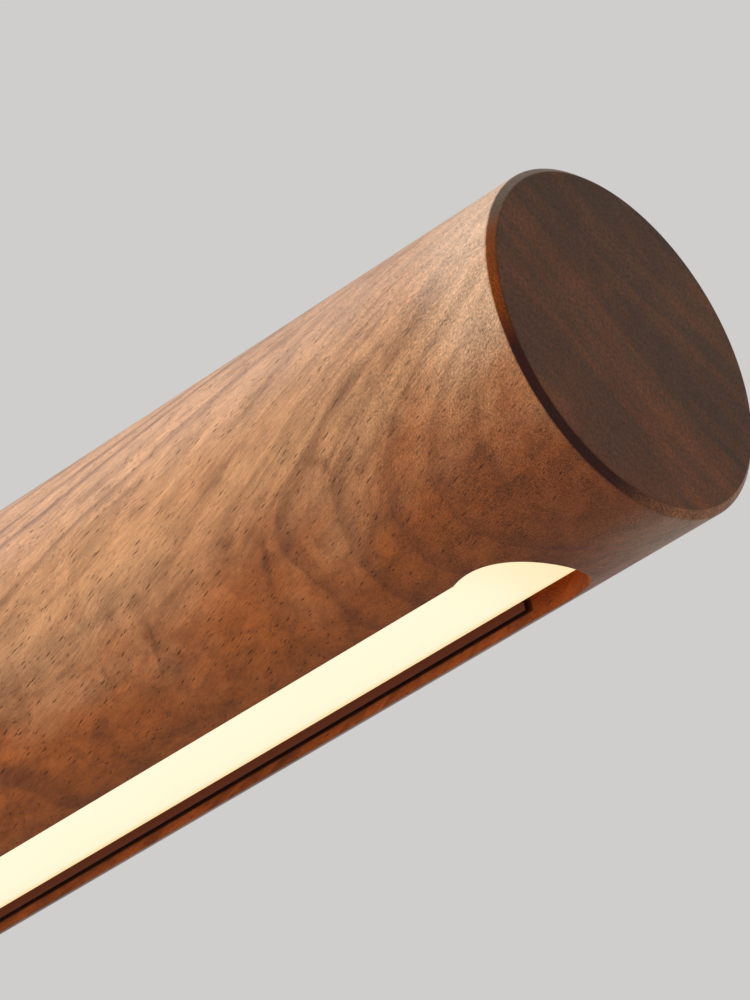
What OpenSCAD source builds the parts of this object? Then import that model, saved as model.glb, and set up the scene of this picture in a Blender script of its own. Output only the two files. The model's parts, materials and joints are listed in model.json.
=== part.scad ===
// Linear table lamp: a turned walnut bar with a light slot milled along its underside.
// The bar rolls about its own length on a hollow axle in a metal hub, the hub stands on a
// stem that swivels in a weighted base, and a push button on the base works the switch.
// Millimetres, +Z up, origin at the middle of the foot pad, bar along +X, slot facing down.

/* [Light bar] */
// Diameter of the turned walnut bar
bar_d = 40; // [39:1:60]
// Length of the walnut bar, from the hub to its free end
bar_len = 440; // [320:5:640]
// Height of the bar's axis above the table
bar_height = 420; // [300:5:560]
// Chamfer turned on the ends of the bar, the hub and the hub's cap
end_chamfer = 1; // [0.4:0.1:2]

/* [Light slot] */
// Width of the straight stretch of the slot
slot_w = 14.2; // [13.6:0.1:18]
// How much wider than the slot its round end pockets are
pocket_extra = 0.8; // [0.2:0.1:3]
// Wood left between the slot and the free end of the bar
slot_end_gap = 13.2; // [8:0.2:40]
// Wood left between the axle's bore and the slot
slot_hub_gap = 14; // [8:1:60]
// Depth of the diffuser's face below the edge of the slot
diffuser_recess = 2.2; // [1:0.1:3.5]

/* [Light source] */
// Thickness of the opal diffuser
diffuser_t = 2; // [1.5:0.1:3]
// Gap between the diffuser's round ends and the pocket's wall
diffuser_gap = 0.2; // [0.1:0.05:1]
// Space between the diffuser and the light strip
mixing_gap = 5; // [4:0.5:7]
// Width of the light strip's board
strip_w = 10; // [8:0.5:11]
// Thickness of the light strip's board
strip_t = 1; // [0.6:0.1:1.6]
// Distance between neighbouring lamps on the strip
led_pitch = 10; // [6:0.5:20]
// Length of one lamp on the strip
led_l = 3.5; // [2:0.1:5]
// Width of one lamp on the strip
led_w = 2.8; // [2:0.1:5]
// Height of one lamp on the strip
led_h = 0.8; // [0.5:0.1:1.5]
// Length of the strip's terminal block
terminal_l = 8; // [5:0.5:14]
// Width of the strip's terminal block
terminal_w = 6; // [4:0.5:9]
// Height of the strip's terminal block
terminal_h = 3.4; // [3.2:0.1:4]

/* [Light channel] */
// Thickness of the channel's floor, against the wood
channel_floor = 1.5; // [1.3:0.1:3]
// Thickness of the channel's side walls above the diffuser
channel_wall = 1; // [0.8:0.1:1.6]
// Thickness of the lips that clasp the diffuser
lip_wall = 0.5; // [0.4:0.05:0.7]
// How far the lips reach below the diffuser's face
lip_drop = 0.65; // [0.3:0.05:1]
// Distance from a pocket's centre to the channel's end
channel_inset = 4.3; // [3.5:0.1:12]
// Distance from the channel's end to the strip's end
strip_inset = 1; // [0.5:0.5:5]
// Number of screws that hold the channel in the bar
channel_screw_count = 4; // [2:1:6]
// Diameter of a channel screw's shank
channel_screw_d = 2.4; // [2:0.1:3]
// Diameter of a channel screw's head
channel_head_d = 4.8; // [4:0.1:6]
// Length of a channel screw
channel_screw_l = 11; // [8:0.5:14]

/* [Roll joint] */
// Diameter of the hollow axle that the bar turns on
axle_d = 12; // [11:0.5:13]
// Bore of the axle, for the lead
axle_bore = 4; // [3.6:0.1:6]
// Diameter of the axle's threaded ends
axle_thread_d = 10; // [8:0.5:10.5]
// Diameter of the axle's flange, let into the hub's face
axle_flange_d = 26; // [24:0.5:30]
// Thickness of the axle's flange
axle_flange_t = 2; // [1.5:0.1:4]
// Outside diameter of the bush in the bar
bush_d = 20; // [19.5:0.1:24]
// Length of the bush in the bar, with its flange
bush_len = 34; // [20:1:60]
// Diameter of the bush's flange, let into the bar's end
bush_flange_d = 34; // [33.5:0.1:36]
// Thickness of the bush's flange
bush_flange_t = 3; // [2.8:0.1:6]
// Outside diameter of the friction washer between hub and bar
friction_d = 32; // [28:0.5:36]
// Thickness of the friction washer, the seam between hub and bar
friction_t = 1; // [0.5:0.1:2]
// Thickness of the disc spring's plate
spring_t = 0.6; // [0.4:0.1:0.8]
// Height of the disc spring as fitted
spring_h = 1.2; // [1:0.1:2]
// Width across the flats of the two axle nuts
axle_nut_af = 16; // [15:0.5:16.5]
// Thickness of the two axle nuts
axle_nut_t = 5; // [3:0.5:8]
// Thread that stands out past a nut
thread_spare = 2; // [1:0.5:4]
// Free depth of the bar's bore past the end of the axle
bore_spare = 4; // [2:0.5:10]
// Diameter of the roll stop's pin
roll_pin_d = 2.5; // [2:0.1:2.8]
// Distance of the roll stop's pin from the bar's axis
roll_pin_r = 9; // [8.8:0.05:9.2]
// How deep the roll stop's pin reaches into its groove
roll_pin_reach = 2.2; // [1.5:0.1:2.4]
// How deep the roll stop's pin sits in the hub, behind the axle's flange
roll_pin_seat = 4; // [2:0.5:8]
// How far the bar rolls each way, in degrees
roll_limit = 150; // [60:5:155]
// Diameter of a bush screw's shank
bush_screw_d = 3; // [2.5:0.1:3.5]
// Diameter of a bush screw's head
bush_head_d = 5.4; // [4.8:0.1:5.8]
// Length of a bush screw
bush_screw_l = 16; // [10:1:25]
// Distance of the bush screws from the bar's axis
bush_screw_r = 13.5; // [13.4:0.05:13.7]

/* [Hub] */
// Distance from the stem's axis to the hub's face on the bar's side
hub_front = 28; // [28:1:40]
// Distance from the stem's axis to the hub's face on the cap's side
hub_back = 20; // [18:1:40]
// Solid metal behind the hub's front face
hub_front_wall = 13; // [10:0.5:13]
// Width across the flats of the pocket inside the hub
hub_flats = 22; // [21:0.5:23]
// Diameter of the pocket's round corners and of its mouth
hub_mouth_d = 28; // [27.5:0.5:31]
// Depth of the seat that the stem stands in, under the hub
stem_seat = 2; // [1.6:0.1:3]
// Thickness of the walnut cap
cap_t = 8; // [4:0.5:20]
// Length of the cap's plug inside the hub
cap_plug = 5; // [4.5:0.5:6]
// Thickness of the ring that grips the cap's plug
cap_ring_t = 2; // [1.6:0.1:2.4]

/* [Stem] */
// Outside diameter of the stem
stem_d = 14; // [13:0.5:15]
// Bore of the stem
stem_bore = 10; // [9:0.5:10.4]
// Width across the flats at the stem's foot
stem_flats = 12.6; // [12:0.1:12.8]
// Diameter of the retaining clip's groove in the stem
clip_groove_d = 13; // [12.8:0.1:13.4]
// Outside diameter of the retaining clip
clip_d = 18.5; // [17:0.5:21]
// Thickness of the retaining clip
clip_t = 1.2; // [0.8:0.1:2]
// Stem left below the retaining clip
stem_tail = 2.3; // [1.5:0.1:3]
// Diameter of the collar that carries the stem's weight
collar_d = 22; // [20:0.5:30]
// Height of the collar
collar_h = 5; // [3:0.5:12]
// Bore of the threaded nipple that joins stem and hub
nipple_bore = 7; // [5:0.1:7.4]
// Length of the nipple inside the stem
nipple_in = 14; // [8:1:30]
// Width across the flats of the nipple's nut
nipple_nut_af = 14; // [13:0.5:14.5]
// Thickness of the nipple's nut
nipple_nut_t = 4; // [3:0.5:5]
// Nipple that stands out past its nut
nipple_spare = 1; // [0.5:0.5:2]

/* [Swivel joint] */
// Diameter of the socket on the base
socket_d = 36; // [35:0.5:50]
// Height of the socket on the base
socket_h = 16; // [16:0.5:40]
// Outside diameter of the two swivel bushes
swivel_bush_d = 17; // [16.8:0.1:17.4]
// Length of each swivel bush, without its flange
swivel_bush_l = 9; // [5:0.5:9]
// Diameter of the swivel bushes' flanges
swivel_flange_d = 20; // [19:0.5:20.5]
// Thickness of the swivel bushes' flanges
swivel_flange_t = 2; // [1.9:0.1:2.5]
// Diameter of a socket screw's shank
socket_screw_d = 3; // [2.5:0.1:3.5]
// Diameter of a socket screw's head
socket_head_d = 5.4; // [4.5:0.1:5.5]
// Height of a socket screw's head
socket_head_h = 1.7; // [1.2:0.1:1.8]
// Reach of a socket screw into the socket
socket_screw_l = 8; // [5:0.5:14]
// Distance of the socket screws from the stem's axis
socket_screw_r = 13.2; // [13.1:0.05:13.4]
// Thickness of the stop washer keyed to the stem
stop_washer_t = 1.5; // [1:0.1:2]
// Diameter of the stop washer's round body
stop_washer_d = 20; // [19:0.5:22]
// Reach of the stop washer's tab from the stem's axis
stop_tab_r = 16.5; // [15.5:0.5:18]
// Width of the stop washer's tab
stop_tab_w = 6; // [4:0.5:8]
// Diameter of the swivel stop's pin
swivel_pin_d = 4; // [3:0.5:5]
// Distance of the swivel stop's pin from the stem's axis
swivel_pin_r = 14; // [13.5:0.1:16]
// How far the swivel stop's pin sits in the cover's top
swivel_pin_seat = 2; // [1:0.1:2]

/* [Base] */
// Diameter of the base
base_d = 180; // [164:2:240]
// Height of the base, foot pad and all
base_h = 24; // [24:0.5:34]
// Chamfer around the top and bottom of the base
base_chamfer = 1.5; // [0.5:0.1:2]
// Thickness of the cover's side wall
cover_wall = 2.5; // [2:0.1:4]
// Thickness of the cover's top
cover_top = 3; // [2.6:0.1:5]
// Thickness of the bottom plate
plate_t = 2; // [1.5:0.1:3]
// Distance of the foot pad's rim from the outside of the base
foot_edge = 17; // [16:1:34]
// Thickness of the foot pad
foot_t = 2; // [1:0.1:3]
// Diameter of the bosses that the plate screws go into
boss_d = 10; // [8:0.5:11]
// Height of the bosses
boss_h = 9; // [6:0.5:10]
// Distance of the bosses from the cover's side wall
boss_edge = 2; // [1:0.5:4]
// Diameter of a plate screw's shank
plate_screw_d = 4; // [3:0.1:5]
// Diameter of a plate screw's head
plate_head_d = 7.5; // [6:0.1:8]
// Thread of a plate screw inside its boss
plate_screw_in = 6; // [4:0.5:6]
// Diameter of the hole in the middle of the ballast
ballast_hole_d = 52; // [46:1:60]

/* [Switch] */
// Diameter of the walnut button
button_d = 18; // [14:0.5:20]
// How far the button stands above the base
button_rise = 1.8; // [1.5:0.1:3]
// How far the button travels
button_travel = 1.2; // [0.5:0.1:1.4]
// Width of the rim that keeps the button in
button_rim_w = 1.5; // [1:0.1:2]
// Thickness of the button's rim
button_rim_t = 1.5; // [1:0.1:2]
// Distance of the button from the outside of the base
button_edge = 32; // [30:1:34]
// Width of the switch body, a square
switch_w = 12; // [10:0.5:14]
// Height of the switch body above its board
switch_h = 8.5; // [8:0.1:9]
// Diameter of the switch's plunger
plunger_d = 6; // [4:0.5:7]
// Length of the plunger inside the switch at rest
plunger_in = 2.6; // [2:0.1:3]
// Side of the switch's board, a square
switch_board_w = 28; // [26:1:30]

/* [Driver] */
// Thickness of the two circuit boards
board_t = 1.6; // [1:0.1:2]
// Height of the posts under the circuit boards
post_h = 1.5; // [1:0.1:2]
// Diameter of the posts
post_d = 5; // [4.5:0.1:6]
// Diameter of a board screw's shank
board_screw_d = 2.5; // [2:0.1:3]
// Diameter of a board screw's head
board_head_d = 4.5; // [4:0.1:5]
// Height of a board screw's head
board_head_h = 1.5; // [1:0.1:2]
// Distance of the board screws from the boards' edges
board_screw_edge = 3; // [2.5:0.1:4]
// Width of the driver's board
driver_w = 48; // [44:1:52]
// Distance of the driver's board from the outside of the base
driver_edge = 8; // [7.5:0.1:9]
// Depth of the driver's board
driver_l = 37; // [35:0.5:38]
// Width of the inlet's shell
inlet_w = 8.9; // [8:0.1:10]
// Height of the inlet's shell
inlet_h = 3.2; // [3:0.1:4]
// Depth of the inlet's shell
inlet_l = 9; // [8:0.1:10]
// Thickness of the inlet's shell
inlet_wall = 0.35; // [0.25:0.05:0.5]
// How far the inlet's mouth lies behind the outside of the base
inlet_recess = 0.5; // [0.3:0.1:1]
// Room between the boards and the ballast
window_gap = 2; // [1:0.5:3]

/* [Leads] */
// Diameter of the lamp's inner lead
lead_d = 3; // [2:0.1:3.2]
// Radius of the lead's bends in the base and the bar
lead_bend = 4.5; // [3.5:0.1:4.6]
// Radius of the lead's bend in the hub
hub_bend = 7.5; // [6:0.1:7.8]
// Diameter of the lead's hole along the bar
lead_hole_d = 6; // [5:0.5:8]
// Diameter of the well that takes the lead down to the strip
lead_well_d = 12; // [11.6:0.1:13]
// Diameter of the link between the switch and the driver
link_d = 2.4; // [1.6:0.1:2.8]
// Distance of the link's front end from the edge of the switch's board
link_front_in = 4.5; // [4:0.1:5]
// Distance of the link's back end from the edge of the driver's board
link_back_in = 2.3; // [2:0.1:4]
// Length of a link plug
plug_l = 6; // [4:0.5:7]
// Width of a link plug
plug_w = 4; // [3:0.5:5]
// Plastic over the leads in their plugs
plug_wall = 0.6; // [0.4:0.1:1]
// Width of the driver's output plug
output_w = 8; // [5:0.5:9]
// Length of the driver's output plug
output_l = 6; // [4:0.5:10]

/* [Clearances] */
// Gap around pieces that turn or slide in each other
run_gap = 0.05; // [0.02:0.01:0.1]
// Gap around pieces that are fitted into each other
fit_gap = 0.05; // [0.02:0.01:0.2]
// Gap around pieces that pass each other freely
pass_gap = 0.3; // [0.2:0.05:0.6]

/* [Hidden] */
$fn = 96;

// Colours as the photograph shows them, or as such pieces usually are
walnut = "#8f6142";
bronze = "#43352c";
opal = "#ffeec8";
steel = "#b9bbbd";
brass = "#b8975a";
iron = "#55524f";
dark_plastic = "#262423";
pale_plastic = "#e8e6df";
board_green = "#2f5a45";
rubber = "#1d1c1c";

// Heights in the base, from the table up
plate_z = foot_t;
inside_z = plate_z + plate_t;
under_z = base_h - cover_top;
board_z = inside_z + post_h;
board_top = board_z + board_t;
inner_r = base_d / 2 - cover_wall;
foot_d = base_d - 2 * foot_edge;
boss_r = inner_r - boss_edge - boss_d / 2;
boss_angles = [45, 135, 225, 315];

// Heights of the swivel, from its clip up to the collar
flange_z = under_z - swivel_flange_t;
stop_washer_z = flange_z - stop_washer_t;
clip_z = stop_washer_z - clip_t;
stem_z = clip_z - stem_tail;
socket_top = base_h + socket_h;
collar_z = socket_top + swivel_flange_t;
socket_screw_angles = [0, 120, 240];

// The button's rim hangs a running gap below the cover's top
button_r = base_d / 2 - button_edge;
rim_z = under_z - run_gap - button_rim_t;
switch_top = board_top + switch_h;
plunger_bore_h = plunger_in + button_travel + pass_gap;

// Places along the bar, from the stem's axis
bar_r = bar_d / 2;
bar_x = hub_front + friction_t;
bar_end = bar_x + bar_len;
tail_x = hub_front - hub_front_wall - axle_nut_t - thread_spare;
bush_end = bar_x + bush_len;
lock_nut_x = bush_end + spring_h;
axle_end = lock_nut_x + axle_nut_t + thread_spare;
bore_end = axle_end + bore_spare;
pocket_r = (slot_w + pocket_extra) / 2;
pocket_hub_x = bore_end + slot_hub_gap + pocket_r;
pocket_free_x = bar_end - slot_end_gap - pocket_r;
channel_x = pocket_hub_x + channel_inset;
channel_len = pocket_free_x - channel_inset - channel_x;
strip_x = channel_x + strip_inset;
strip_len = channel_len - 2 * strip_inset;

// Heights in the slot, from the bar's axis, all below it
slot_edge_z = -sqrt(pow(bar_r, 2) - pow(slot_w / 2, 2));
diffuser_z = slot_edge_z + diffuser_recess;
diffuser_top = diffuser_z + diffuser_t;
strip_z = diffuser_top + mixing_gap;
floor_z = strip_z + strip_t;
ceiling_z = floor_z + channel_floor;
terminal_x = strip_x + lead_bend;
lead_end_z = strip_z - terminal_h / 2;

// Half widths in the slot
channel_half = slot_w / 2 - fit_gap;
lip_half = channel_half - lip_wall;
wall_half = channel_half - channel_wall;
diffuser_half = lip_half - fit_gap;

// Heights at the top of the stem
stem_top = bar_height - bar_r + stem_seat;
pocket_floor = bar_height - hub_flats / 2;
nipple_d = stem_bore - 2 * fit_gap;
nipple_top = pocket_floor + nipple_nut_t + nipple_spare;

// Half the angle that the roll stop's groove spans, with the pin inside it
roll_slack = 1;
roll_groove_half = roll_limit + asin(roll_pin_d / 2 / roll_pin_r) + roll_slack;
roll_groove_h = roll_pin_reach + pass_gap;

// The near edges of the two boards, from the stem's axis
driver_y = base_d / 2 - driver_edge - driver_l;
switch_y = button_r - switch_board_w / 2;

// The link runs round the stem from the switch at the front to the driver at the back, over the screws
link_front = 83;
link_back = 75;
link_r = (switch_y + link_front_in + driver_y + link_back_in) / (sin(link_front) + sin(link_back));
link_y = link_r * sin(link_front) - switch_y - link_front_in;
link_z = board_top + board_head_h + pass_gap + link_d / 2;
plug_h = link_z + link_d / 2 + plug_wall - board_top;

// The lamp's lead runs from the stem's foot to the output plug at this height
run_z = stem_z - lead_bend;
output_h = run_z + lead_d / 2 + plug_wall - board_top;

// Places a shape that is turned about Z onto the bar's axis, at distance x along the bar
module on_bar(x) {
    translate([x, 0, bar_height]) rotate([0, 90, 0]) children();
}

// Carries an outline of widths and heights, measured from the bar's axis, along the bar
module along_bar(x, length) {
    translate([x, 0, bar_height]) rotate([90, 0, 90]) linear_extrude(length) children();
}

// A plain ring or tube
module ring(outer_d, bore_d, h) {
    difference() {
        cylinder(d = outer_d, h = h);
        translate([0, 0, -1]) cylinder(d = bore_d, h = h + 2);
    }
}

// A cylinder with a chamfer at its low and its high end
module turned_bar(d, h, low, high) {
    rotate_extrude() polygon([[0, 0], [d / 2 - low, 0], [d / 2, low], [d / 2, h - high],
        [d / 2 - high, h], [0, h]]);
}

// A hexagon nut, its corners turned off at both ends
module hex_nut(af, t, bore_d) {
    corner_d = af / cos(30);
    difference() {
        intersection() {
            cylinder(d = corner_d, h = t, $fn = 6);
            turned_bar(corner_d, t, (corner_d - af) / 2, (corner_d - af) / 2);
        }
        translate([0, 0, -1]) cylinder(d = bore_d, h = t + 2);
    }
}

// A countersunk screw whose flat head lies at z = 0 and whose shank points up
module flat_screw(head_d, shank_d, length) {
    rotate_extrude() polygon([[0, 0], [head_d / 2, 0], [shank_d / 2, (head_d - shank_d) / 2],
        [shank_d / 2, length], [0, length]]);
}

// The hole for a countersunk screw, with the named fit around it
module flat_screw_hole(head_d, shank_d, length) {
    flat_screw(head_d + 2 * fit_gap, shank_d + 2 * fit_gap, length + fit_gap);
}

// A pan head screw whose head hangs below z = 0 and whose shank points up
module pan_screw(head_d, head_h, shank_d, length) {
    translate([0, 0, -head_h]) turned_bar(head_d, head_h, head_h / 3, 0);
    cylinder(d = shank_d, h = length);
}

// A quarter bend of a round lead, from +X round to +Y, about the origin
module bend(radius, d) {
    rotate_extrude(angle = 90) translate([radius, 0]) circle(d = d);
}

// The slot seen from below: a straight stretch between two round pockets
module slot_plan(r, half) {
    for (x = [pocket_hub_x, pocket_free_x]) translate([x, 0]) circle(r = r);
    translate([pocket_hub_x, -half]) square([pocket_free_x - pocket_hub_x, 2 * half]);
}

// Copies a shape to the four corners of a board that is centred on x = 0
module board_corners(w, y, l) {
    for (x = [-1, 1], near = [0, 1])
        translate([x * (w / 2 - board_screw_edge),
            y + board_screw_edge + near * (l - 2 * board_screw_edge)]) children();
}

// Copies a shape to every board screw of both boards
module board_screw_places() {
    board_corners(driver_w, driver_y, driver_l) children();
    board_corners(switch_board_w, -switch_y - switch_board_w, switch_board_w) children();
}

// Base

module base_cover() {
    color(bronze) difference() {
        union() {
            difference() {
                translate([0, 0, plate_z])
                    turned_bar(base_d, base_h - plate_z, base_chamfer / 2, base_chamfer);
                translate([0, 0, -1]) cylinder(r = inner_r, h = under_z + 1);
            }
            for (a = boss_angles) rotate(a) translate([boss_r, 0, under_z - boss_h])
                cylinder(d = boss_d, h = boss_h + 1);
        }
        for (a = boss_angles) rotate(a) translate([boss_r, 0, 0])
            cylinder(d = plate_screw_d + 2 * fit_gap, h = under_z - boss_h + plate_screw_in + pass_gap);
        translate([0, 0, under_z - 1]) cylinder(d = swivel_bush_d + 2 * fit_gap, h = cover_top + 2);
        for (a = socket_screw_angles) rotate(a) translate([socket_screw_r, 0, under_z - 1])
            cylinder(d = socket_screw_d + 2 * fit_gap, h = cover_top + 2);
        translate([-swivel_pin_r, 0, under_z - 1])
            cylinder(d = swivel_pin_d + 2 * fit_gap, h = 1 + swivel_pin_seat);
        translate([0, -button_r, under_z - 1]) cylinder(d = button_d + 2 * pass_gap, h = cover_top + 2);
        inlet_place() linear_extrude(2 * cover_wall + inlet_l)
            inlet_outline(inlet_w + 2 * pass_gap, inlet_h + 2 * pass_gap);
    }
}

module ballast() {
    color(iron) difference() {
        translate([0, 0, inside_z]) cylinder(r = inner_r - pass_gap, h = under_z - inside_z);
        translate([0, 0, inside_z - 1]) {
            cylinder(d = ballast_hole_d, h = base_h);
            for (a = boss_angles) rotate(a) translate([boss_r, 0])
                cylinder(d = boss_d + 2 * pass_gap, h = base_h);
            translate([-switch_board_w / 2 - window_gap, -switch_y - switch_board_w - window_gap])
                cube([switch_board_w + 2 * window_gap, switch_board_w + 2 * window_gap, base_h]);
            translate([-driver_w / 2 - window_gap, driver_y - window_gap])
                cube([driver_w + 2 * window_gap, base_d, base_h]);
            translate([0, link_y]) rotate(-90) rotate_extrude(angle = 180)
                translate([link_r - plug_w / 2, 0]) square([plug_w, 1 + link_z - inside_z + plug_w / 2]);
            translate([-output_w / 2, 0])
                cube([output_w, driver_y, 1 + board_top + output_h + window_gap - inside_z]);
        }
    }
}

module bottom_plate() {
    color(iron) difference() {
        union() {
            translate([0, 0, plate_z]) cylinder(r = inner_r - pass_gap, h = plate_t);
            translate([0, 0, inside_z]) board_screw_places() cylinder(d = post_d, h = post_h);
        }
        for (a = boss_angles) rotate(a) translate([boss_r, 0, plate_z])
            flat_screw_hole(plate_head_d, plate_screw_d, base_h);
        translate([0, 0, plate_z + plate_t / 2]) board_screw_places()
            cylinder(d = board_screw_d + 2 * fit_gap, h = base_h);
    }
}

module plate_screws() {
    color(steel) for (a = boss_angles) rotate(a) translate([boss_r, 0, plate_z])
        flat_screw(plate_head_d, plate_screw_d, under_z - boss_h + plate_screw_in - plate_z);
}

module foot_pad() {
    color(rubber) turned_bar(foot_d, foot_t, foot_t / 4, 0);
}

// Swivel, the parts that stay with the base

module stem_socket() {
    color(bronze) difference() {
        translate([0, 0, base_h]) turned_bar(socket_d, socket_h, 0, end_chamfer);
        translate([0, 0, base_h - 1]) cylinder(d = swivel_bush_d + 2 * fit_gap, h = socket_h + 2);
        for (a = socket_screw_angles) rotate(a) translate([socket_screw_r, 0, base_h - 1])
            cylinder(d = socket_screw_d + 2 * fit_gap, h = 1 + socket_screw_l + pass_gap);
    }
}

module socket_screws() {
    color(steel) for (a = socket_screw_angles) rotate(a) translate([socket_screw_r, 0, under_z])
        pan_screw(socket_head_d, socket_head_h, socket_screw_d, cover_top + socket_screw_l);
}

module swivel_bush() {
    color(dark_plastic) difference() {
        union() {
            cylinder(d = swivel_flange_d, h = swivel_flange_t);
            cylinder(d = swivel_bush_d, h = swivel_flange_t + swivel_bush_l);
        }
        translate([0, 0, -1]) cylinder(d = stem_d + 2 * run_gap, h = swivel_flange_t + swivel_bush_l + 2);
    }
}

module upper_bush() {
    translate([0, 0, collar_z]) rotate([180, 0, 0]) swivel_bush();
}

module lower_bush() {
    translate([0, 0, flange_z]) swivel_bush();
}

module swivel_stop_pin() {
    color(steel) translate([-swivel_pin_r, 0, clip_z])
        cylinder(d = swivel_pin_d, h = under_z + swivel_pin_seat - clip_z);
}

// Driver and switch

module driver_board() {
    color(board_green) difference() {
        translate([-driver_w / 2, driver_y, board_z]) cube([driver_w, driver_l, board_t]);
        translate([0, 0, board_z - 1]) board_screw_places()
            cylinder(d = board_screw_d + 2 * fit_gap, h = board_t + 2);
    }
}

module switch_board() {
    color(board_green) difference() {
        translate([-switch_board_w / 2, -switch_y - switch_board_w, board_z])
            cube([switch_board_w, switch_board_w, board_t]);
        translate([0, 0, board_z - 1]) board_screw_places()
            cylinder(d = board_screw_d + 2 * fit_gap, h = board_t + 2);
    }
}

module board_screws() {
    color(steel) translate([0, 0, board_top]) board_screw_places() rotate([180, 0, 0])
        pan_screw(board_head_d, board_head_h, board_screw_d, board_t + post_h + plate_t / 2 - fit_gap);
}

// The coil, the two smoothing capacitors and the control chip of the driver
module driver_parts() {
    coil_d = 10;
    coil_h = 5;
    can_d = 6.3;
    can_h = 7.7;
    chip_w = 5;
    chip_h = 0.9;
    middle = driver_y + driver_l / 2;
    color(dark_plastic) translate([0, 0, board_top]) {
        translate([-driver_w / 4, middle]) turned_bar(coil_d, coil_h, 0, coil_h / 10);
        for (side = [-1, 1]) translate([driver_w / 4, middle + side * can_d])
            turned_bar(can_d, can_h, 0, can_h / 10);
        translate([-chip_w / 2, middle - chip_w / 2]) cube([chip_w, chip_w, chip_h]);
    }
}

// The inlet's axis points out of the back of the base
module inlet_place() {
    translate([0, base_d / 2 - inlet_recess - inlet_l, board_top + inlet_h / 2])
        rotate([-90, 0, 0]) children();
}

module inlet_outline(w, h) {
    for (side = [-1, 1]) translate([side * (w - h) / 2, 0]) circle(d = h);
    square([w - h, h], center = true);
}

module power_inlet() {
    back = 1;
    tongue_w = inlet_w - inlet_h;
    tongue_h = inlet_h / 4;
    color(steel) inlet_place() {
        difference() {
            linear_extrude(inlet_l) inlet_outline(inlet_w, inlet_h);
            translate([0, 0, back]) linear_extrude(inlet_l)
                inlet_outline(inlet_w - 2 * inlet_wall, inlet_h - 2 * inlet_wall);
        }
        linear_extrude(inlet_l - back) square([tongue_w, tongue_h], center = true);
    }
}

module switch_body() {
    color(dark_plastic) difference() {
        translate([-switch_w / 2, -button_r - switch_w / 2, board_top]) cube([switch_w, switch_w, switch_h]);
        translate([0, -button_r, switch_top - plunger_bore_h])
            cylinder(d = plunger_d + 2 * run_gap, h = plunger_bore_h + 1);
    }
}

module switch_plunger() {
    color(pale_plastic) translate([0, -button_r, switch_top - plunger_in])
        cylinder(d = plunger_d, h = rim_z - switch_top + plunger_in);
}

module button_cap() {
    color(walnut) translate([0, -button_r, rim_z]) {
        cylinder(d = button_d + 2 * button_rim_w, h = button_rim_t);
        turned_bar(button_d, base_h + button_rise - rim_z, 0, end_chamfer / 2);
    }
}

// Leads in the base

module link_lead() {
    color(rubber) translate([0, link_y, link_z]) rotate(-link_front)
        rotate_extrude(angle = link_front + link_back) translate([link_r, 0]) circle(d = link_d);
}

module link_plug() {
    color(pale_plastic) translate([link_r - plug_w / 2, 0, board_top]) cube([plug_w, plug_l, plug_h]);
}

module link_plugs() {
    translate([0, link_y]) {
        rotate(link_back) link_plug();
        mirror([0, 1, 0]) rotate(link_front) link_plug();
    }
}

module output_plug() {
    color(pale_plastic) translate([-output_w / 2, driver_y + fit_gap, board_top])
        cube([output_w, output_l, output_h]);
}

module base_lead() {
    color(rubber) {
        translate([0, lead_bend, stem_z]) rotate([-90, 0, -90]) bend(lead_bend, lead_d);
        translate([0, lead_bend, run_z]) rotate([-90, 0, 0])
            cylinder(d = lead_d, h = driver_y + fit_gap - lead_bend);
    }
}

// Stem

module stem_tube() {
    color(bronze) difference() {
        translate([0, 0, stem_z]) cylinder(d = stem_d, h = stem_top - stem_z);
        translate([0, 0, stem_z - 1]) cylinder(d = stem_bore, h = stem_top - stem_z + 2);
        translate([0, 0, clip_z]) ring(stem_d + 2, clip_groove_d, clip_t);
        for (side = [-1, 1]) translate([-stem_d, side * (stem_d + stem_flats) / 2 - stem_d / 2, stem_z - 1])
            cube([2 * stem_d, stem_d, flange_z - stem_z + 1]);
    }
}

module stem_collar() {
    color(bronze) translate([0, 0, collar_z]) difference() {
        turned_bar(collar_d, collar_h, end_chamfer / 2, end_chamfer / 2);
        translate([0, 0, -1]) cylinder(d = stem_d + 2 * fit_gap, h = collar_h + 2);
    }
}

// A washer keyed to the stem's flats, whose tab meets the pin under the cover
module stop_washer() {
    color(steel) translate([0, 0, stop_washer_z]) difference() {
        union() {
            cylinder(d = stop_washer_d, h = stop_washer_t);
            translate([0, -stop_tab_w / 2, 0]) cube([stop_tab_r, stop_tab_w, stop_washer_t]);
        }
        intersection() {
            translate([0, 0, -1]) cylinder(d = stem_d + 2 * fit_gap, h = stop_washer_t + 2);
            cube([2 * stem_d, stem_flats + 2 * fit_gap, 4 * stop_washer_t], center = true);
        }
    }
}

module stem_clip() {
    open_angle = 60;
    color(steel) translate([0, 0, clip_z]) rotate(open_angle / 2) rotate_extrude(angle = 360 - open_angle)
        translate([clip_groove_d / 2 + fit_gap, 0]) square([(clip_d - clip_groove_d) / 2 - fit_gap, clip_t]);
}

module hub_nipple() {
    color(steel) translate([0, 0, stem_top - nipple_in])
        ring(nipple_d, nipple_bore, nipple_top - stem_top + nipple_in);
}

module nipple_nut() {
    color(steel) translate([0, 0, pocket_floor]) hex_nut(nipple_nut_af, nipple_nut_t, nipple_d + 2 * fit_gap);
}

// Hub

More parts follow.
